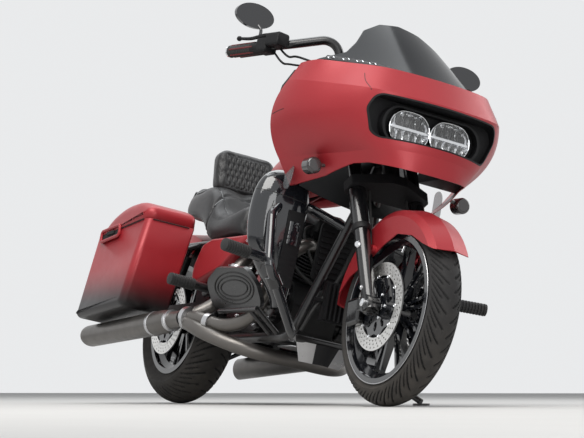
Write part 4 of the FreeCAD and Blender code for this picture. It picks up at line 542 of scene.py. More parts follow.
def tyre_mesh(name, centre, radius, crown, bead, rim_width, body, replaces, pitch, sweep, n=660, m=54):
    """A tyre whose curved grooves are pressed into the crown, with painted shade, a black material, on
    their deepest faces.
    """
    heart, seat = radius - crown, rim_width / 2 - 5.0
    lean = asin(0.97)
    section = []
    for i in range(m + 1):
        a = -lean + 2 * lean * i / m
        section.append((crown * sin(a), heart + crown * cos(a), crown * a))
    half = section[-1][2]
    wall = [(seat, bead + 14.5), (seat + 1.5, bead + 14 + (section[-1][1] - bead - 14) * 0.55)]
    rings = [(-y, r, None) for y, r in wall] + section + [(y, r, None) for y, r in wall[::-1]]
    th = np.linspace(0, tau, n, endpoint=False)
    count = int(round(tau * radius / pitch))
    verts, depths = [], []
    for y, r, s in rings:
        depths.append(np.zeros(n) if s is None else groove_depth(th, s, half, count, pitch, sweep))
        for a, q in zip(th, r - depths[-1]):
            verts.append((centre[0] + q * sin(a), y, centre[2] + q * cos(a)))
    o = finish_object(name, verts, grid_faces(len(rings), n), "tyre", body, angle=60)
    # painted shade: the deepest faces of the grooves take this black material
    o.data.materials.append(M["dark"])
    level = [a + np.roll(a, -1) + b + np.roll(b, -1) for a, b in zip(depths, depths[1:])]
    index = (np.concatenate(level) > GROOVE_SHADE_SUM).astype(np.int32)
    o.data.polygons.foreach_set("material_index", index)
    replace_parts(o, replaces)


FA, RA = V(WHEELBASE, 0, FRONT_R), V(0, 0, REAR_R)
tyre_mesh("front_tyre_tread", FA, FRONT_R, 62.0, 241.0, 110.0, "front_wheel", "front_tyre", 50.0, -0.34)
tyre_mesh("rear_tyre_tread", RA, REAR_R, 88.0, 203.0, 136.0, "rear_wheel", "rear_tyre", 62.0, 0.34)


# Brake discs
def ring_points(r, n, phase=0.0, cx=0.0, cy=0.0, sx=1.0, rot=0.0):
    out = []
    for k in range(n):
        a = tau * k / n + phase
        x, y = r * sx * cos(a), r * sin(a)
        out.append((cx + x * cos(rot) - y * sin(rot), cy + x * sin(rot) + y * cos(rot)))
    return out


def inside(q, poly):
    """Whether a place lies in a closed outline."""
    found = False
    for (ax, ay), (bx, by) in zip(poly, np.roll(poly, 1, axis=0)):
        if (ay > q[1]) != (by > q[1]) and q[0] < (bx - ax) * (q[1] - ay) / (by - ay) + ax:
            found = not found
    return found


def pierced(outer, holes, thick):
    """A flat plate with holes: (a, b, t) places and faces."""
    pts, edges = [], []
    for ring in [outer] + holes:
        base = len(pts)
        pts += [Vector(p) for p in ring]
        edges += [(base + i, base + (i + 1) % len(ring)) for i in range(len(ring))]
    vs, _, fs, _, _, _ = delaunay_2d_cdt(pts, edges, [], 1, 1e-5)
    border = np.array(outer)
    rings = [np.array(h) for h in holes]
    gaps = [(np.mean(h, 0), h) for h in rings]
    keep = []
    for f in fs:
        q = sum((np.array(vs[i]) for i in f), np.zeros(2)) / len(f)
        if not inside(q, border):
            continue
        if any(np.hypot(*(q - c)) < np.max(np.hypot(*(h - c).T)) and inside(q, h) for c, h in gaps):
            continue
        keep.append(list(f))
    n = len(vs)
    verts = [(v[0], v[1], 0.0) for v in vs] + [(v[0], v[1], thick) for v in vs]
    faces = [f[::-1] for f in keep] + [[i + n for i in f] for f in keep]
    count = {}
    for f in keep:
        for e in zip(f, f[1:] + f[:1]):
            key = tuple(sorted(e))
            count[key] = (count.get(key, (0, e))[0] + 1, e)
    for c, (a, b) in count.values():
        if c == 1:
            faces.append([a, b, b + n, a + n])
    return verts, faces


def disc_set(name, centre, near, far, radius, band, body, replaces, sides):
    """A drilled rotor on a carrier with rivets and screws, once for each side."""
    rotor = Batch(name + "_rotor", "disc", "disc_steel", body)
    carrier = Batch(name + "_carrier", "gloss", "disc_steel", body)
    rivets = Batch(name + "_rivets", "chrome", "disc_steel", body)
    rivet = [(6.2, -0.6), (6.2, 6.4), (4.4, 7.2), (4.4, 6.0), (2.5, 6.0)]
    inner = radius - band
    holes = [ring_points(inner, 96)[::-1]]
    for k in range(36):
        a = tau * k / 36
        for j, r in enumerate((inner + band * 0.22, inner + band * 0.50, inner + band * 0.78)):
            q = a + j * 0.058
            holes.append(ring_points(3.3, 8, cx=r * cos(q), cy=r * sin(q)))
    rv, rf = pierced(ring_points(radius, 120), holes, far - near)
    carrier_holes = [ring_points(29.0, 40)[::-1]]
    for k in range(10):
        a = tau * (k + 0.5) / 10
        carrier_holes.append(ring_points(9.5, 16, cx=68 * cos(a), cy=68 * sin(a), sx=1.75, rot=a))
    scallop = []
    for k in range(200):
        a = tau * k / 200
        r = inner - 7 + 5 * cos(10 * a)
        scallop.append((r * cos(a), r * sin(a)))
    cv, cf = pierced(scallop, carrier_holes, 4.0)
    for side in sides:
        def place(p, base):
            return V(centre[0] + p[0], side * (base + p[2]), centre[2] + p[1])
        rotor.add([place(p, near) for p in rv], rf)
        carrier.add([place(p, near + 0.5) for p in cv], cf)
        for q in around(centre + Y * side * near, X, Z, inner - 1, 10):
            rivets.add(*lathe(rivet, q, Y * side, 16))
        for q in around(centre + Y * side * (near + 4.5), X, Z, 40, 5):
            rivets.add(*cap_screw(q, Y * side, 5.5, 3.5))
    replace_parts(rotor.make(), replaces)
    carrier.make()
    rivets.make()


disc_set("front_disc", FA, 79.0, 84.0, 150.0, 44.0, "front_wheel", "front_brake_discs", (1, -1))
disc_set("rear_disc", RA, 98.0, 103.0, 146.0, 44.0, "rear_wheel", "rear_brake_disc", (-1,))

# Wheel trim
wheel = Batch("front_wheel_trim", "chrome", "disc_steel", "front_wheel")
for axis in (-Y, Y):
    wheel.add(*lathe([(30, 66), (31, 70), (30, 76), (20, 78.4)], FA, axis, 40))
wheel.add(*tube([FA + V(0, -20, 236), FA + V(0, -26, 214), FA + V(0, -30, 196)], 4.0, 10))
wheel.make()
rw = Batch("rear_wheel_trim", "chrome", "disc_steel", "rear_wheel")
rw.add(*lathe([(34, 60), (36, 66), (34, 84), (22, 96)], RA, -Y, 40))
rw.add(*tube([RA + V(0, -20, 200), RA + V(0, -26, 178), RA + V(0, -30, 160)], 4.0, 10))
rw.make()
lips = Batch("rim_lips", "alu", "disc_steel", "front_wheel")
lip = [(253.2, 55.2), (255.6, 55.6), (256.4, 54.8), (255.2, 54.2)]
for side in (1, -1):
    lips.add(*lathe(lip, FA, Y * side, 160, closed=True))
lips.make()

# Lamps in the nose
LAMP_Z = 925.0


def stadium(u, v, half_len, half_h):
    """A point of a stadium from polar shares."""
    a = u * tau
    s = half_len - half_h
    y, z = cos(a) * half_h, sin(a) * half_h
    y += s * copysign(min(1.0, abs(cos(a)) * 3), cos(a))
    return y * v, z * v


def stadium_mesh(cx, half_len, half_h, depth, n=96, m=22, y0=0.0):
    """A stadium with its depth given by a function of the place."""
    verts = []
    for j in range(m + 1):
        v = j / m
        for k in range(n):
            y, z = stadium(k / n, v, half_len, half_h)
            verts.append(V(cx + depth(y, z, v), y0 + y, LAMP_Z + z))
    return verts, grid_faces(m + 1, n)


reflect = Batch("lamp_reflectors", "chrome", "lamp_glass", angle=30)
lamp_dark = Batch("lamp_bars", "plastic", "bezel_black")
lens = Batch("lamp_lenses", "glass", "lamp_glass")
bulbs = Batch("lamp_bulbs", "glass", "lamp_glass")


def cavity(y, z, v):
    """Facetted bowls above and below a middle bar."""
    edge = min(1.0, (1 - v) * 9)
    if abs(z) < 5:
        return -1.5 * edge
    cell = 26.0
    row = 1 if z > 0 else -1
    yy = (y + (13 if row < 0 else 0)) / cell
    fy = yy % 1 - 0.5
    fz = (abs(z) - 5) / 55 - 0.45
    bowl = 1 - min(1.0, (fy * 2) ** 2 * 0.8 + (fz * 1.6) ** 2)
    return -(4.0 + 15.0 * bowl ** 0.6) * edge


# painted shade: the deepest faces of the chrome reflectors are gloss black instead
reflector_shade = Batch("lamp_bowl_painted_shade", "gloss", "lamp_glass", angle=30)
BOWL_SHADE_X = 1604.5  # faces behind this are painted gloss black as painted shade in the bowls
for side in (1, -1):
    cy = side * 80
    v, f = stadium_mesh(1619.0, 78.0, 61.0, cavity, m=34, n=128, y0=cy)
    depth_of = [sum(v[i].x for i in g) / len(g) for g in f]
    reflect.add(v, [g for g, x in zip(f, depth_of) if x >= BOWL_SHADE_X])
    reflector_shade.add(v, [g for g, x in zip(f, depth_of) if x < BOWL_SHADE_X])
    lens.add(*stadium_mesh(1622.5, 77.5, 59.5, lambda y, z, v: 8.0 * (1 - v * v) ** 0.8, y0=cy))
    ring = []
    for k in range(96):
        y, z = stadium(k / 96, 1.0, 78.0, 60.0)
        ring.append(V(1622.5, cy + y, LAMP_Z + z))
    reflect.add(*tube(ring + [ring[0]], 2.0, 8, smooth=False, cap=False))
    reflect.add(*slab(box(cy - 70, LAMP_Z - 4.5, cy + 70, LAMP_Z + 4.5, 3), 1612, 1621.5, 0, 1.0))
    for k in range(-3, 4):
        mid, top = cy + 17 * k, LAMP_Z + 46 - 1.6 * k * k
        lamp_dark.add(*slab(box(mid - 2, LAMP_Z + 10, mid + 2, top, 1.5), 1606, 1618, 0, 0.5))
    for dz in (-27, 27):
        bulbs.add(*lathe([(10, 0), (11, 2), (9, 5), (5, 7.5), (1, 8.5)], V(1604, cy, LAMP_Z + dz), X, 24))
ro = reflect.make()
reflector_shade.make()
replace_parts(ro, "headlamps")
make_all(lamp_dark, bulbs, lens)

# Fairing trim
shell = surface("fairing_shell")
seams = Batch("fairing_seams", "seam", "bezel_black")
for side in (1, -1):
    brow = [V(1800, side * y, z) for y, z in ((252, 1018), (262, 1050), (258, 1082))]
    cheek = [V(1225 + 40 * k, side * 600, 936 + 10 * k - 1.2 * k * k) for k in range(3)]
    seams.add(*strip(shell, brow, -X, 2.4, 0.5))
    seams.add(*strip(shell, cheek, -Y * side, 2.2, 0.4))
seams.make()

# a bright edged row of inserts on the black base trim of the screen
screen = surface("windshield")
trim = Batch("screen_base_trim", "plastic", "dash_black")
inserts = Batch("screen_inserts", "chrome", "disc_steel")
insert_faces = Batch("screen_insert_faces", "dark", "dash_black")
for side in (1, -1):
    run = [V(1900, side * y, 1104 + y * 0.16 + max(0, y - 230) * 0.05) for y in range(30, 322, 12)]
    trim.add(*strip(screen, run, -X, 26, 1.4))
    for k in range(4):
        y = side * (196 + 31 * k)
        h = drape(screen, (1900, y, 1107 + abs(y) * 0.16), -X)
        if not h:
            continue
        q, nrm = h
        t = V(-0.55, side * 1.0, 0.15)
        t = (t - nrm * t.dot(nrm)).normalized()
        s = nrm.cross(t).normalized()
        s = s if s.z > 0 else -s
        for grow, rise, target in ((1.0, 2.6, inserts), (0.76, 3.1, insert_faces)):
            pts = [(-14, -5.5), (8, -5.5), (14, 5.5), (-8, 5.5)]
            ring = [q + nrm * rise + t * a * grow + s * b * grow for a, b in pts]
            back = [p - nrm * 3 for p in ring]
            target.add(ring + back, [[0, 1, 2, 3], [7, 6, 5, 4]] + grid_faces(2, 4))
make_all(trim, inserts, insert_faces)

# Saddlebags
WALL = 0.0035  # the thickness of a bag's wall, in m


def casing(name, run, low_y, high_y, edge, body, replaces, side):
    """A case that is open along the straight line between the ends of its run."""
    run = [Vector(p) for p in run]
    seam = (run[-1] - run[0]).normalized()
    centre = sum(run, Vector((0, 0))) / len(run)
    normals = []
    for i, p in enumerate(run):
        t = (run[min(i + 1, len(run) - 1)] - run[max(i - 1, 0)]).normalized()
        nn = Vector((-t.y, t.x))
        nn = nn if nn.dot(centre - p) > 0 else -nn
        if i in (0, len(run) - 1):
            nn = seam * (1 if seam.dot(nn) > 0 else -1) * min(1.6, 1 / max(0.3, abs(seam.dot(nn))))
        normals.append(nn)
    # the inner edge is half as round as the outer one
    half = edge * 0.5
    quarter = [pi / 2 * k / 6 for k in range(7)]
    levels = [(low_y + half * (1 - cos(a)), half * (1 - sin(a))) for a in quarter]
    levels += [(low_y + (high_y - low_y) * 0.5, 0.0)]
    quarter = [pi / 2 * k / 8 for k in range(9)]
    levels += [(high_y - edge * (1 - sin(a)), edge * (1 - cos(a))) for a in quarter]
    verts = []
    for y, inset in levels:
        for p, nn in zip(run, normals):
            q = p + nn * inset
            verts.append(V(q.x, side * y, q.y))
    o = finish_object(name, verts, skin(len(levels), len(run), wrap=False), "bag_red", None, angle=42)
    wall = o.modifiers.new("wall", "SOLIDIFY")
    wall.thickness, wall.offset = WALL, -1
    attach(o, body)
    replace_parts(o, replaces)


SEAM_REAR, SEAM_FRONT = Vector((-50.4, 565.8)), Vector((400.0, 620.5))
BAG_BODY = open_rounded([SEAM_REAR, (-140, 250), (288, 292), SEAM_FRONT], 30)
LID_GAP = Vector((0, 1))
LID_RUN = open_rounded([SEAM_FRONT + LID_GAP, (396, 668), (300, 695), (170, 686), (50, 646),
                        SEAM_REAR + LID_GAP], 60, 8)
for side, tag in ((-1, "right"), (1, "left")):
    casing("bag_%s_body" % tag, BAG_BODY, 236, 438, 26, "chassis", "saddlebag_" + tag, side)
    lid = "saddlebag_lid_" + tag
    casing("bag_%s_lid" % tag, LID_RUN, 234, 442, 44, "lid_" + tag, lid, side)
    rim = Batch("bag_%s_seam" % tag, "seam", "bezel_black")
    along = SEAM_FRONT - SEAM_REAR
    spots = [SEAM_REAR + along * t for t in (0.06, 0.35, 0.65, 0.94)]
    rim.add(*tube([V(q.x, side * 439.0, q.y - 1.5) for q in spots], 2.0, 6, smooth=False))
    rim.add(*tube([V(399.5, side * y, 618.5) for y in (262, 320, 380, 414)], 2.0, 6, smooth=False))
    rim.make()
    # the latch: a raised loop round a flat black patch, painted shade for the finger recess, with a black
    # catch on it
    direction = along.normalized()
    across = Vector((-direction.y, direction.x))
    mid = SEAM_REAR + along * 0.30 - across * 7
    loop = [mid + direction * a + across * b for a, b in box(-84, -21, 84, 21, 16, 6)]
    loop = [V(q.x, side * 443.0, q.y) for q in loop]
    latch = Batch("bag_%s_latch" % tag, "red", "body_red")
    latch.add(*tube(loop + loop[:1], 6.5, 10, smooth=False, cap=False))
    latch.make()
    recess_shade_and_catch = Batch("bag_%s_recess" % tag, "dark", "bezel_black")
    # painted shade: a flat black patch on the bag stands for the finger recess
    pts = [mid + direction * a + across * b for a, b in box(-80, -17, 80, 17, 14, 5)]
    recess_shade_and_catch.add(*slab([(q.x, q.y) for q in pts], side * 436.5, side * 440.0, 1, 1.0))
    x, z = mid + across * 2
    catch = rounded([(x - 34, z - 8), (x + 34, z - 4), (x + 34, z + 9), (x - 34, z + 5)], 4)
    recess_shade_and_catch.add(*slab(catch, side * 439.0, side * 446.0, 1, 2.0))
    recess_shade_and_catch.make()

# Seat and backrest
def padded_copy(node, name, voxel, grow, pressure):
    """A copy of a plain pad, blown up a little as cloth, with its movement capped."""
    src = nodes[node]
    mesh = src.data.copy()
    o = bpy.data.objects.new(name, mesh)
    bpy.context.collection.objects.link(o)
    o.matrix_world = src.matrix_world.copy()
    mesh.materials.clear()
    mesh.materials.append(M["leather"])
    bpy.context.view_layer.objects.active = o
    for q in bpy.context.selected_objects:
        q.select_set(False)
    o.select_set(True)
    mesh.remesh_voxel_size = voxel
    bpy.ops.object.voxel_remesh()
    mesh = o.data
    bm = bmesh.new()
    bm.from_mesh(mesh)
    for _ in range(6):
        bmesh.ops.smooth_vert(bm, verts=bm.verts, factor=0.5, use_axis_x=True, use_axis_y=True,
                              use_axis_z=True)
    bm.to_mesh(mesh)
    bm.free()
    n = len(mesh.vertices)
    base, nor = np.empty(n * 3), np.empty(n * 3)
    mesh.vertices.foreach_get("co", base)
    mesh.vertices.foreach_get("normal", nor)
    base, nor = base.reshape(-1, 3), nor.reshape(-1, 3)
    rise = np.full(n, grow * 0.5)
    cloth = o.modifiers.new("cloth", "CLOTH")
    cs = cloth.settings
    cs.quality, cs.mass = 4, 0.25
    cs.use_pressure, cs.uniform_pressure_force = True, pressure
    cs.tension_stiffness = cs.compression_stiffness = cs.shear_stiffness = 25
    cs.bending_stiffness = 3
    cs.effector_weights.gravity = 0.0
    cloth.collision_settings.use_collision = False
    for frame_no in range(1, 21):
        bpy.context.scene.frame_set(frame_no)
    moved = o.evaluated_get(bpy.context.evaluated_depsgraph_get()).to_mesh()
    now = np.empty(n * 3)
    moved.vertices.foreach_get("co", now)
    rise = np.einsum("ij,ij->i", now.reshape(-1, 3) - base, nor)
    rise = np.nan_to_num(rise - np.median(rise) + grow * 0.4)
    o.modifiers.remove(cloth)
    bpy.context.scene.frame_set(1)
    rise = np.clip(rise, -grow * 0.3, grow)
    rise[nor[:, 2] < -0.35] = 0
    return o, base + nor * rise[:, None], nor


def press(o, coords, nor, depth_of, name_body, node):
    """Presses seams and channels, given in the upright frame, into a pad."""
    inv = np.array(DOWN @ o.matrix_world)
    up = coords @ inv[:3, :3].T + inv[:3, 3]
    d = depth_of(up) / 1000
    coords = coords - nor * d[:, None]
    o.data.vertices.foreach_set("co", coords.reshape(-1))
    o.data.update()
    o.data.shade_smooth()
    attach(o, name_body)
    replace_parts(o, node)


STEP_X, STEP_BOW = 318, 0.0012


def panel_line(x, cos):
    """How far the side seam of the seat lies from its middle."""
    return 105 + 18 * cos((x - 180) / 150)


def seat_channels(p):
    """A channel before the step, one along each side panel and one across the front."""
    x, y = p[:, 0], p[:, 1]
    d = 5.0 * np.exp(-((x - STEP_X - STEP_BOW * y * y) / 4.5) ** 2)
    panel = panel_line(x, np.cos)
    d += 3.2 * np.exp(-((np.abs(y) - panel) / 3.6) ** 2) * (x < 620)
    d += 2.2 * np.exp(-((x - 470) / 4.0) ** 2) * (np.abs(y) < 100)
    return d


def rest_channels(p):
    """Diamond quilting inside a border."""
    y, z = p[:, 1], p[:, 2]
    u = y / 21.0
    w = (z - 815) / 52.0
    a = np.abs((u + w) - np.round(u + w)) * 15
    b = np.abs((u - w) - np.round(u - w)) * 15
    field = (np.abs(y) < 88) & (z > 838) & (z < 962) & (p[:, 0] > 232)
    d = (4.2 * np.exp(-(a / 2.6) ** 2) + 4.2 * np.exp(-(b / 2.6) ** 2)) * field
    edge = np.minimum(90 - np.abs(y), np.minimum(z - 836, 964 - z))
    d += 3.6 * np.exp(-(edge / 3.5) ** 2) * (p[:, 0] > 232)
    return d


seat_o, c, n_ = padded_copy("seat", "seat_pad", 0.0055, 0.007, 4.0)
press(seat_o, c, n_, seat_channels, "chassis", "seat")
rest_o, c, n_ = padded_copy("rider_backrest", "backrest_pad", 0.0040, 0.006, 4.0)
press(rest_o, c, n_, rest_channels, "chassis", "rider_backrest")
seat_s = surface("seat")
piping = Batch("seat_piping", "gloss", "seat_leather")
for side in (1, -1):
    run = []
    for x in range(70, 680, 20):
        h = drape(seat_s, (x, side * panel_line(x, cos), 1200), -Z)
        if h:
            run.append(h[0] + h[1] * 2.5)
    if len(run) > 4:
        piping.add(*tube(run, 3.0, 8))
run = []
for y in range(-150, 151, 15):
    h = drape(seat_s, (STEP_X + STEP_BOW * y * y, y, 1200), -Z)
    if h:
        run.append(h[0] + h[1] * 2.2)
piping.add(*tube(run, 3.0, 8))
piping.make()

# A dark shroud that closes the nose behind the fork
def doubled(verts, faces, thick=3):
    """A sheet and its back, some mm behind it."""
    base = len(verts)
    return verts + [q - X * thick for q in verts], faces + [[j + base for j in reversed(g)] for g in faces]


shroud = Batch("neck_shroud", "plastic", "bezel_black")
verts = []
rows, cols = 11, 25
for i in range(rows):
    for k in range(cols):
        y = -240 + 20 * k
        low = 664 + 0.0011 * y * y
        z = low + (905 - low) * i / (rows - 1)
        verts.append(V(min(1318, 1243 + 0.57 * (800 - z)) - 0.0014 * y * y, y, z))
shroud.add(*doubled(verts, grid_faces(rows, cols, wrap=False)))
shroud.make()

# Wind deflectors beside the tank
deflect = Batch("wind_deflectors", "tint", "screen_smoke")
vane = rounded([(1204, 706), (1240, 694), (1262, 742), (1258, 812), (1236, 836), (1202, 830)], 16)
deflect.both(*slab(vane, 300, 303, 1, 0.6))
deflect.make()

# Leg shields: cap seam, panel and door
leg = surface("lower_fairings")
shield = Batch("shield_seams", "seam", "bezel_black")
panel = Batch("shield_panels", "plastic", "bezel_black")
door = Batch("shield_doors", "gloss", "bezel_black")
for side in (1, -1):
    cap_line = [V(1500, side * y, 672 + 0.10 * (y - 170)) for y in range(178, 376, 12)]
    side_line = [V(1500, side * (326 - 0.0012 * (z - 560) ** 2), z) for z in range(420, 670, 14)]
    shield.add(*strip(leg, cap_line, -X, 3.0, 0.5))
    shield.add(*strip(leg, side_line, -X, 2.2, 0.5))
    panel.add(*strip(leg, [V(1500, side * 222, z) for z in range(372, 640, 14)], -X, 66, 2.4))
    door.add(*strip(leg, [V(1500, side * 222, z) for z in range(520, 604, 10)], -X, 44, 5.0))
    for z in (534, 590):
        h = drape(leg, (1500, side * 222, z), -X)
        if h:
            door.add(*cap_screw(h[0] + h[1] * 5, h[1], 4, 3))
make_all(shield, panel, door)

# Engine guard clamps and ribbed pegs
guard = Batch("guard_clamps", "cover", "frame_black")
ribs = Batch("peg_ribs", "rubber", "grip_rubber")
bright = Batch("bright_bolts", "chrome", "axle_steel")


def ribbed(inner, outer, radius, batch, start=0.42, count=9):
    """Ribs round the outer part of a peg, on both sides of the machine."""
    a, b = Vector(inner), Vector(outer)
    length = (b - a).length
    profile = [(radius * 0.8, length * start)]
    step = length * (1 - start) / count
    for k in range(count):
        h = length * start + step * k
        profile += [(radius + 3.5, h + step * 0.15), (radius + 3.5, h + step * 0.62)]
        profile += [(radius + 0.8, h + step * 0.72), (radius + 0.8, h + step * 0.98)]
    profile += [(radius + 2.5, length + 1), (radius * 0.5, length + 5)]
    batch.both(*lathe(profile, a, b - a, 20))


ribbed((1262, 352, 442), (1302, 526, 447), 19, ribs)
ribbed((600, 222, 385), (609, 395, 388), 19, ribs)
guard.both(*lathe([(20, -22), (27, -20), (27, 20), (20, 22)], (1264, 300, 372), V(0.10, 0.62, 0.78), 24))
guard.both(*lathe([(13, 0), (22, 4), (22, 26), (13, 30)], (1257, 330, 440), V(0.2, 0.97, 0.02), 20))
bright.both(*bolt((1278, 334, 468), V(0.8, 0.2, 0.5), 6, 6))
make_all(guard, ribs)

# Floorboard pads
board = surface("footrests")
pads = Batch("floorboard_pads", "rubber", "grip_rubber")
for j in range(8):
    y0 = 262 + j * 16
    pads.add(*strip(board, [V(x, y0, 700) for x in range(790, 1070, 20)], -Z, 7, 3.5))
FOLD = radians(62)  # how far the right board is folded up
c, sn = cos(FOLD), sin(FOLD)
for a_len, b_len in ((150, 58), (128, 44), (104, 30)):
    centre = V(930, -248 - c * 80 - sn * 90, 292 + sn * 80 - c * 90)
    oval = around(centre, X * a_len, V(0, -c, sn) * b_len, 1, 40)
    pads.add(*strip(board, oval + oval[:1], V(0, sn, c), 5, 2.5))
pads.make()

# Exhaust: slim cans, shields and clamps
pipe = Batch("exhaust_pipes", "exhaust", "exhaust_grey", angle=50)
can_shade = Batch("exhaust_inside_shade", "dark", "exhaust_grey")
clamp = Batch("exhaust_clamps", "alu", "exhaust_grey")
for side in (1, -1):
    a, b = V(560, side * 330, 246), V(-188, side * 330, 201)
    d = (b - a).normalized()
    u, w, _ = basis(d)
    length = (b - a).length
    prof = [(30, -90), (31, -40), (33, 0), (40, 26), (44, 60), (44.5, 180), (43.5, length * 0.6)]
    prof += [(42.5, length - 12), (39.5, length - 16), (39, length - 90)]
    n = 44
    verts = []
    for r, h in prof:
        for off in around(V(0, 0, 0), u, w, r, n):
            # the end is cut at a slant
            slash = 0.55 * off.y * side if h > length - 20 else 0
            verts.append(a + d * (h + slash) + off)
    pipe.add(verts, grid_faces(len(prof), n))
    # painted shade: a black disc a little inside the slant-cut end darkens the inside of the can
    can_shade.add(*lathe([(39, length - 100), (3, length - 101)], a, d, 30))
    for h, r in ((8, 36), (150, 42)):
        clamp.add(*lathe([(r, h - 9), (r + 4, h - 8), (r + 4, h + 8), (r, h + 9)], a, d, 36))
ex = pipe.make()
can_shade.make()
for tag, r, pts in (
        (980, 24.5, ((1020, -40, 560), (1072, -112, 548), (1046, -180, 470), (1000, -200, 350),
                     (930, -208, 272), (830, -250, 238), (690, -305, 258), (560, -330, 250))),
        (708, 24.5, ((748, -40, 560), (692, -100, 552), (698, -178, 462), (690, -218, 345),
                     (650, -300, 270), (560, -330, 250))),
        (318, 27.0, ((640, -322, 246), (780, -285, 200), (900, -170, 164), (920, 0, 160),
                     (900, 170, 164), (780, 285, 200), (640, 322, 246), (560, 330, 250)))):
    run = Batch("exhaust_run_%d" % tag, "exhaust", "exhaust_grey", angle=60)
    run.add(*tube(pts, r, 28))
    run.make()
for c, ax, r in ((V(1046, -180, 470), V(-0.2, -0.2, -0.9), 27),
                 (V(700, -178, 462), V(0, -0.3, -0.9), 27),
                 (V(760, -278, 244), V(-0.9, -0.4, 0.1), 30),
                 (V(655, -312, 255), V(-0.95, -0.2, 0.1), 40)):
    clamp.add(*lathe([(r - 2, -12), (r + 3, -11), (r + 3, 11), (r - 2, 12)], c, ax, 32))
    u, w, _ = basis(ax)
    clamp.add(*bolt(c + u * (r + 4), u, 4.5, 7))
clamp.make()
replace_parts(ex, "exhaust")

# Engine: bolts, covers and leads
case_bolts = [(q, -Y) for q in around((905, -139, 372), X, Z, 88, 8, 0.3)]
case_bolts += [(q, -Y) for q in around((880, -214, 596), X, Z, 66, 5)]
for k in range(9):
    case_bolts.append((V(600 + 48 * k, 163, 432 - 2 * k), Y))
    case_bolts.append((V(600 + 48 * k, 163, 258 + 1.5 * k), Y))
case_bolts += [(V(x, -146, z), -Y) for x, z in ((700, 300), (742, 322), (770, 284), (812, 300),
                                                (846, 262), (722, 262), (664, 318), (640, 352))]
for c, ax in case_bolts:
    bright.add(*cap_screw(c, ax, 6.5, 6))
bright.make()
linkage = Batch("linkage_plate", "cover", "engine_cover_black")
plate = rounded([(620, 240), (870, 238), (880, 300), (800, 338), (660, 372), (612, 330)], 22)
linkage.add(*slab(plate, -132, -146, 1, 2.0))
linkage.make()
leads = Batch("engine_leads", "rubber", "grip_rubber")
for r, pts in (
        (5, ((1040, -60, 640), (1068, -120, 600), (1100, -90, 500), (1130, -40, 430))),
        (5, ((760, -90, 640), (800, -130, 690), (860, -60, 730))),
        (7, ((1170, -120, 240), (1192, -90, 330), (1204, -30, 430), (1216, 10, 560))),
        (7, ((1174, 120, 240), (1196, 90, 330), (1208, 40, 430), (1222, 6, 600))),
        (6, ((930, -90, 690), (980, -150, 640), (1030, -160, 560), (1050, -120, 470), (1080, -60, 420)))):
    leads.add(*tube(pts, r, 10))
leads.make()
front_dark = Batch("engine_front_shield", "plastic", "bezel_black")
front_dark.add(*slab(rounded([(-96, 432), (96, 432), (84, 640), (-84, 640)], 20), 1120, 1128, 0, 2.0))
for k in range(9):
    front_dark.add(*slab(box(-80, 448 + 20 * k, 80, 456 + 20 * k, 2), 1128, 1136, 0, 1.0))
front_dark.make()
belly = Batch("belly_plate", "alu", "axle_steel")
belly.add(*slab(box(1000, -118, 1130, 118, 20), 186, 190, 2, 1.0))
belly.make()

# Fork, fender and axle trim
fork_trim = Batch("fork_trim", "chrome", "fork_black", "steering")
rings = Batch("fork_rings", "plastic", "fork_black", "steering")
FORK_RAKE = radians(29.25)
FD = V(-sin(FORK_RAKE), 0, cos(FORK_RAKE))
for side in (1, -1):
    foot = V(WHEELBASE, side * 117, FRONT_R)
    prof = [(27, 292), (31.5, 294), (32.5, 300), (32.5, 312), (30, 318), (26, 320)]
    rings.add(*lathe(prof, foot, FD, 36))
    fork_trim.add(*lathe([(14, 0), (15, 6), (11, 9), (6, 10)], foot + V(0, side * 27, 0), Y * side, 6))
    q = foot + FD * 228 + V(8, side * 25, 4)
    fork_trim.add(*lathe([(11, 0), (12, 5), (9, 9), (4, 10)], q, V(0.3, side * 0.95, 0), 20))
    fork_trim.add(*bolt(foot + FD * 60 + V(0, side * 27, 0), Y * side, 6, 6))
make_all(fork_trim, rings)
hose = Batch("brake_hoses", "rubber", "grip_rubber", "steering")
for side in (1, -1):
    run = ((1560, 92, 360), (1530, 82, 430), (1500, 80, 520), (1452, 78, 640), (1404, 74, 740))
    hose.add(*tube([(x, side * y, z) for x, y, z in run], 4.5, 10))
hose.make()

# Bars: grips, levers, housings
bars = Batch("bar_parts", "plastic", "bar_black", "steering")
grips = Batch("grip_sleeves", "rubber", "grip_rubber", "steering")
inserts_r = Batch("grip_inserts", "redgrip", "grip_rubber", "steering")
ends = Batch("grip_ends", "chrome", "axle_steel", "steering")
GI, GO = V(1068, 400, 1202), V(895, 450, 1194)
gd = (GO - GI).normalized()
gl = (GO - GI).length
prof = [(19.5, 26), (23, 28), (23, 34), (20.5, 36)]
for k in range(10):
    h = 42 + k * 12
    prof += [(20.5, h), (21.8, h + 1.5), (21.8, h + 6.5), (20.5, h + 8)]
prof += [(20.5, gl - 10), (22.5, gl - 8), (22.5, gl - 2), (14, gl + 1)]
grips.both(*lathe(prof, GI, gd, 26))
gu, gw, _ = basis(gd)
for q in around(GI, gu, gw, 20.6, 6):
    inserts_r.both(*tube([q + gd * 46, q + gd * (gl - 14)], 3.4, 8, smooth=False))
ends.both(*lathe([(15, gl), (20, gl + 1), (20, gl + 7), (16, gl + 10), (4, gl + 10.5)], GI, gd, 26))
cross = Z.cross(gd).normalized()
for c, (length, half_w, half_h) in ((GI - gd * 6 + V(0, 0, 2), (24, 30, 27)),
                                    (GI - gd * 52 + V(6, 0, 18), (32, 30, 24))):
    outline = box(-half_w, -half_h, half_w, half_h, 12)
    verts = []
    for t, k in ((-length, 0.86), (-length + 4, 1.0), (length - 4, 1.0), (length, 0.86)):
        for a, b in outline:
            verts.append(c + gd * t + cross * a * k + Z * b * k)
    bars.both(verts, skin(4, len(outline)))
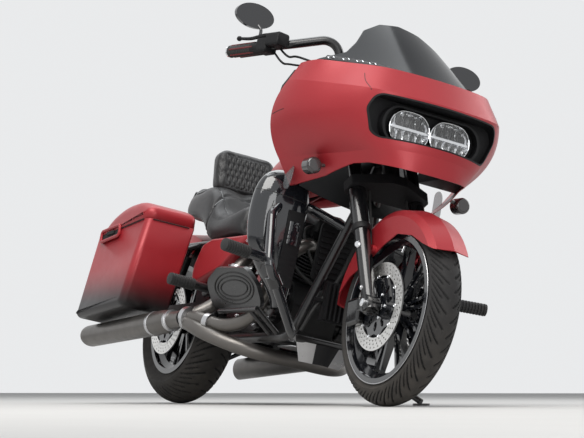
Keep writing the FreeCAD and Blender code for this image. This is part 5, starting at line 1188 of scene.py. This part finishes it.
lever = [GI + V(40, -34, 30), GI + V(58, -6, 34), GI + V(52, 10, 36) + gd * 30,
         GI + gd * 110 + V(44, 0, 36), GI + gd * (gl - 4) + V(48, 0, 42)]
bars.both(*tube(lever, 7, 12, radii=lambda t: 9.0 - 3.6 * t))
bars.both(*lathe([(2, -9), (7, -7), (9.4, -2), (9.4, 2), (7, 7), (2, 9)], lever[-1], gd, 16))
ends.both(*lathe([(8, -14), (11, -13), (11, 13), (8, 14)], GI + V(46, -24, 22), Z, 18))
for a, b in ((V(1092, 372, 1218), V(1150, 300, 1180)), (V(1080, 380, 1200), V(1140, 318, 1150))):
    bars.both(*tube([a, (a + b) / 2 + V(24, 8, -26), b, V(1215, 190, 1150), V(1262, 120, 1090)], 4.0, 8))
make_all(bars, grips, inserts_r, ends)
mirror_glass = Batch("mirror_glass", "mirror", "disc_steel", "steering")
mir = surface("mirrors")
for side in (1, -1):
    pts = []
    for q in around((900, side * 440, 1312), Y * 64, Z * 35, 1, 48):
        h = drape(mir, q, X, 300)
        pts.append(h[0] - X if h else q + X * 86)
    mirror_glass.add(pts + [sum(pts, V(0, 0, 0)) / 48], [[k, (k + 1) % 48, 48] for k in range(48)])
mirror_glass.make()

# Dash: gauges, screen and speakers
dash = surface("inner_fairing")
rims_d = Batch("gauge_rims", "chrome", "axle_steel")
faces_d = Batch("gauge_faces", "dial", "dash_black")
marks_d = Batch("gauge_marks", "white", "lamp_glass")
grille = Batch("speaker_grilles", "dark", "dash_black")
for y, z, r in ((78, 1078, 44), (-78, 1078, 44), (172, 1062, 26), (-172, 1062, 26)):
    h = drape(dash, (700, y, z), X)
    if not h:
        continue
    c, ax = h
    rims_d.add(*lathe([(r - 4, -4), (r - 3, 5), (r, 8), (r + 4, 6), (r + 5, -4)], c, ax, 40))
    faces_d.add(*lathe([(r - 3, -3), (r - 3, 2.6), (1, 3.0)], c, ax, 40))
    for k in range(13):
        t = radians(-120 + 20 * k)
        d = Z * cos(t) + Y * sin(t)
        d = (d - ax * d.dot(ax)).normalized()
        q = c + ax * 3.6
        marks_d.add(*tube([q + d * (r * 0.70), q + d * (r * 0.86)], 0.7, 5, smooth=False))
    d = (Z - Y * 0.7).normalized()
    q = c + ax * 4.6
    marks_d.add(*tube([q, q + (d - ax * d.dot(ax)) * r * 0.6], 0.9, 5, smooth=False))
for side in (1, -1):
    h = drape(dash, (700, side * 205, 972), X)
    if not h:
        continue
    c, ax = h
    rims_d.add(*lathe([(56, -6), (57, 4), (61, 6), (64, 2), (64, -6)], c, ax, 44))
    u, w, _ = basis(ax)
    for k in range(-6, 7):
        half = sqrt(max(1.0, 56 ** 2 - (8 * k) ** 2))
        q = c + u * 8 * k
        grille.add(*tube([q - w * half + ax * 2, q + ax * 6, q + w * half + ax * 2], 1.5, 6))
h = drape(dash, (700, 0, 980), X)
if h:
    faces_d.add(*slab(box(-78, 936, 78, 1026, 8), h[0].x - 8, h[0].x + 4, 0, 2.0))
make_all(rims_d, faces_d, marks_d, grille)

# Tank console and cap
tank = surface("fuel_tank")
console = Batch("tank_console", "gloss", "bezel_black")
console.add(*strip(tank, [V(x, 0, 1300) for x in range(742, 1100, 16)], -Z, 62, 3.0, taper=True))
console.add(*strip(tank, [V(x, 0, 1300) for x in range(706, 742, 8)], -Z, 40, 2.0))
console.make()
cap_b = Batch("tank_cap", "chrome", "axle_steel")
h = drape(tank, (902, 0, 1300), -Z)
if h:
    q, ax = h
    cap_b.add(*lathe([(30, 1), (32, 6), (30, 11), (20, 13.5), (4, 14.5)], q + ax, ax, 40))
    u, w, _ = basis(ax)
    for spot in around(q + ax * 11, u, w, 25, 6):
        cap_b.add(*cap_screw(spot, ax, 2.4, 2.5))
cap_b.make()
tank_seam = Batch("tank_seams", "seam", "bezel_black")
for side in (1, -1):
    run = [V(x, side * 500, 798 + 0.03 * (x - 700)) for x in range(690, 1120, 16)]
    tank_seam.add(*strip(tank, run, -Y * side, 2.2, 0.6))
tank_seam.make()

# Left engine covers and rear hardware
prim = surface("primary_cover")
rings_p = Batch("primary_rings", "gloss", "engine_cover_black")
for x, z, r in ((690, 342, 64), (900, 346, 40)):
    h = drape(prim, (x, 500, z), -Y)
    if h:
        prof = [(r, -2), (r + 1, 5), (r - 4, 9), (r - 14, 10), (r - 20, 7), (6, 7.5)]
        rings_p.add(*lathe(prof, h[0], h[1], 52))
        for q in around(h[0] + h[1] * 9, X, Z, r - 8, 5):
            rings_p.add(*cap_screw(q, h[1], 4.5, 4))
rings_p.make()
ax_r = surface("rear_axle")
nuts = Batch("rear_axle_nuts", "chrome", "axle_steel")
for side in (1, -1):
    h = drape(ax_r, (9, side * 600, REAR_R), -Y * side)
    # the ray starts 9 mm beside the bored axis
    if h:
        nuts.add(*lathe([(4, -6), (19, -5), (20, 0), (17, 2), (4, 2)], h[0] - X * 9, Y * side, 6))
nuts.make()

# A chin scoop under the front of the cradle
chin_d = Batch("chin_scoop", "plastic", "bezel_black")
chin_s = Batch("chin_wings", "alu", "axle_steel")
rows, cols = 6, 9
for lo_y, hi_y, bulge, batch in ((-46, 46, 10, chin_d), (46, 116, 0, chin_s), (-116, -46, 0, chin_s)):
    verts = []
    for i in range(rows):
        t = i / (rows - 1)
        for k in range(cols):
            y = (lo_y + (hi_y - lo_y) * k / (cols - 1)) * (1 - 0.30 * t)
            bend = bulge * sin(pi * k / (cols - 1)) - 0.0016 * y * y
            verts.append(V(1168 - 34 * t + bend, y, 206 - 66 * t))
    base = len(verts)
    verts, faces = doubled(verts, grid_faces(rows, cols, wrap=False))
    edge = list(range(cols)) + [i * cols + cols - 1 for i in range(1, rows)]
    edge += [(rows - 1) * cols + k for k in range(cols - 2, -1, -1)]
    edge += [i * cols for i in range(rows - 2, 0, -1)]
    faces += [[a, b, b + base, a + base] for a, b in zip(edge, edge[1:] + edge[:1])]
    batch.add(verts, faces)
make_all(chin_d, chin_s)

low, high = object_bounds()
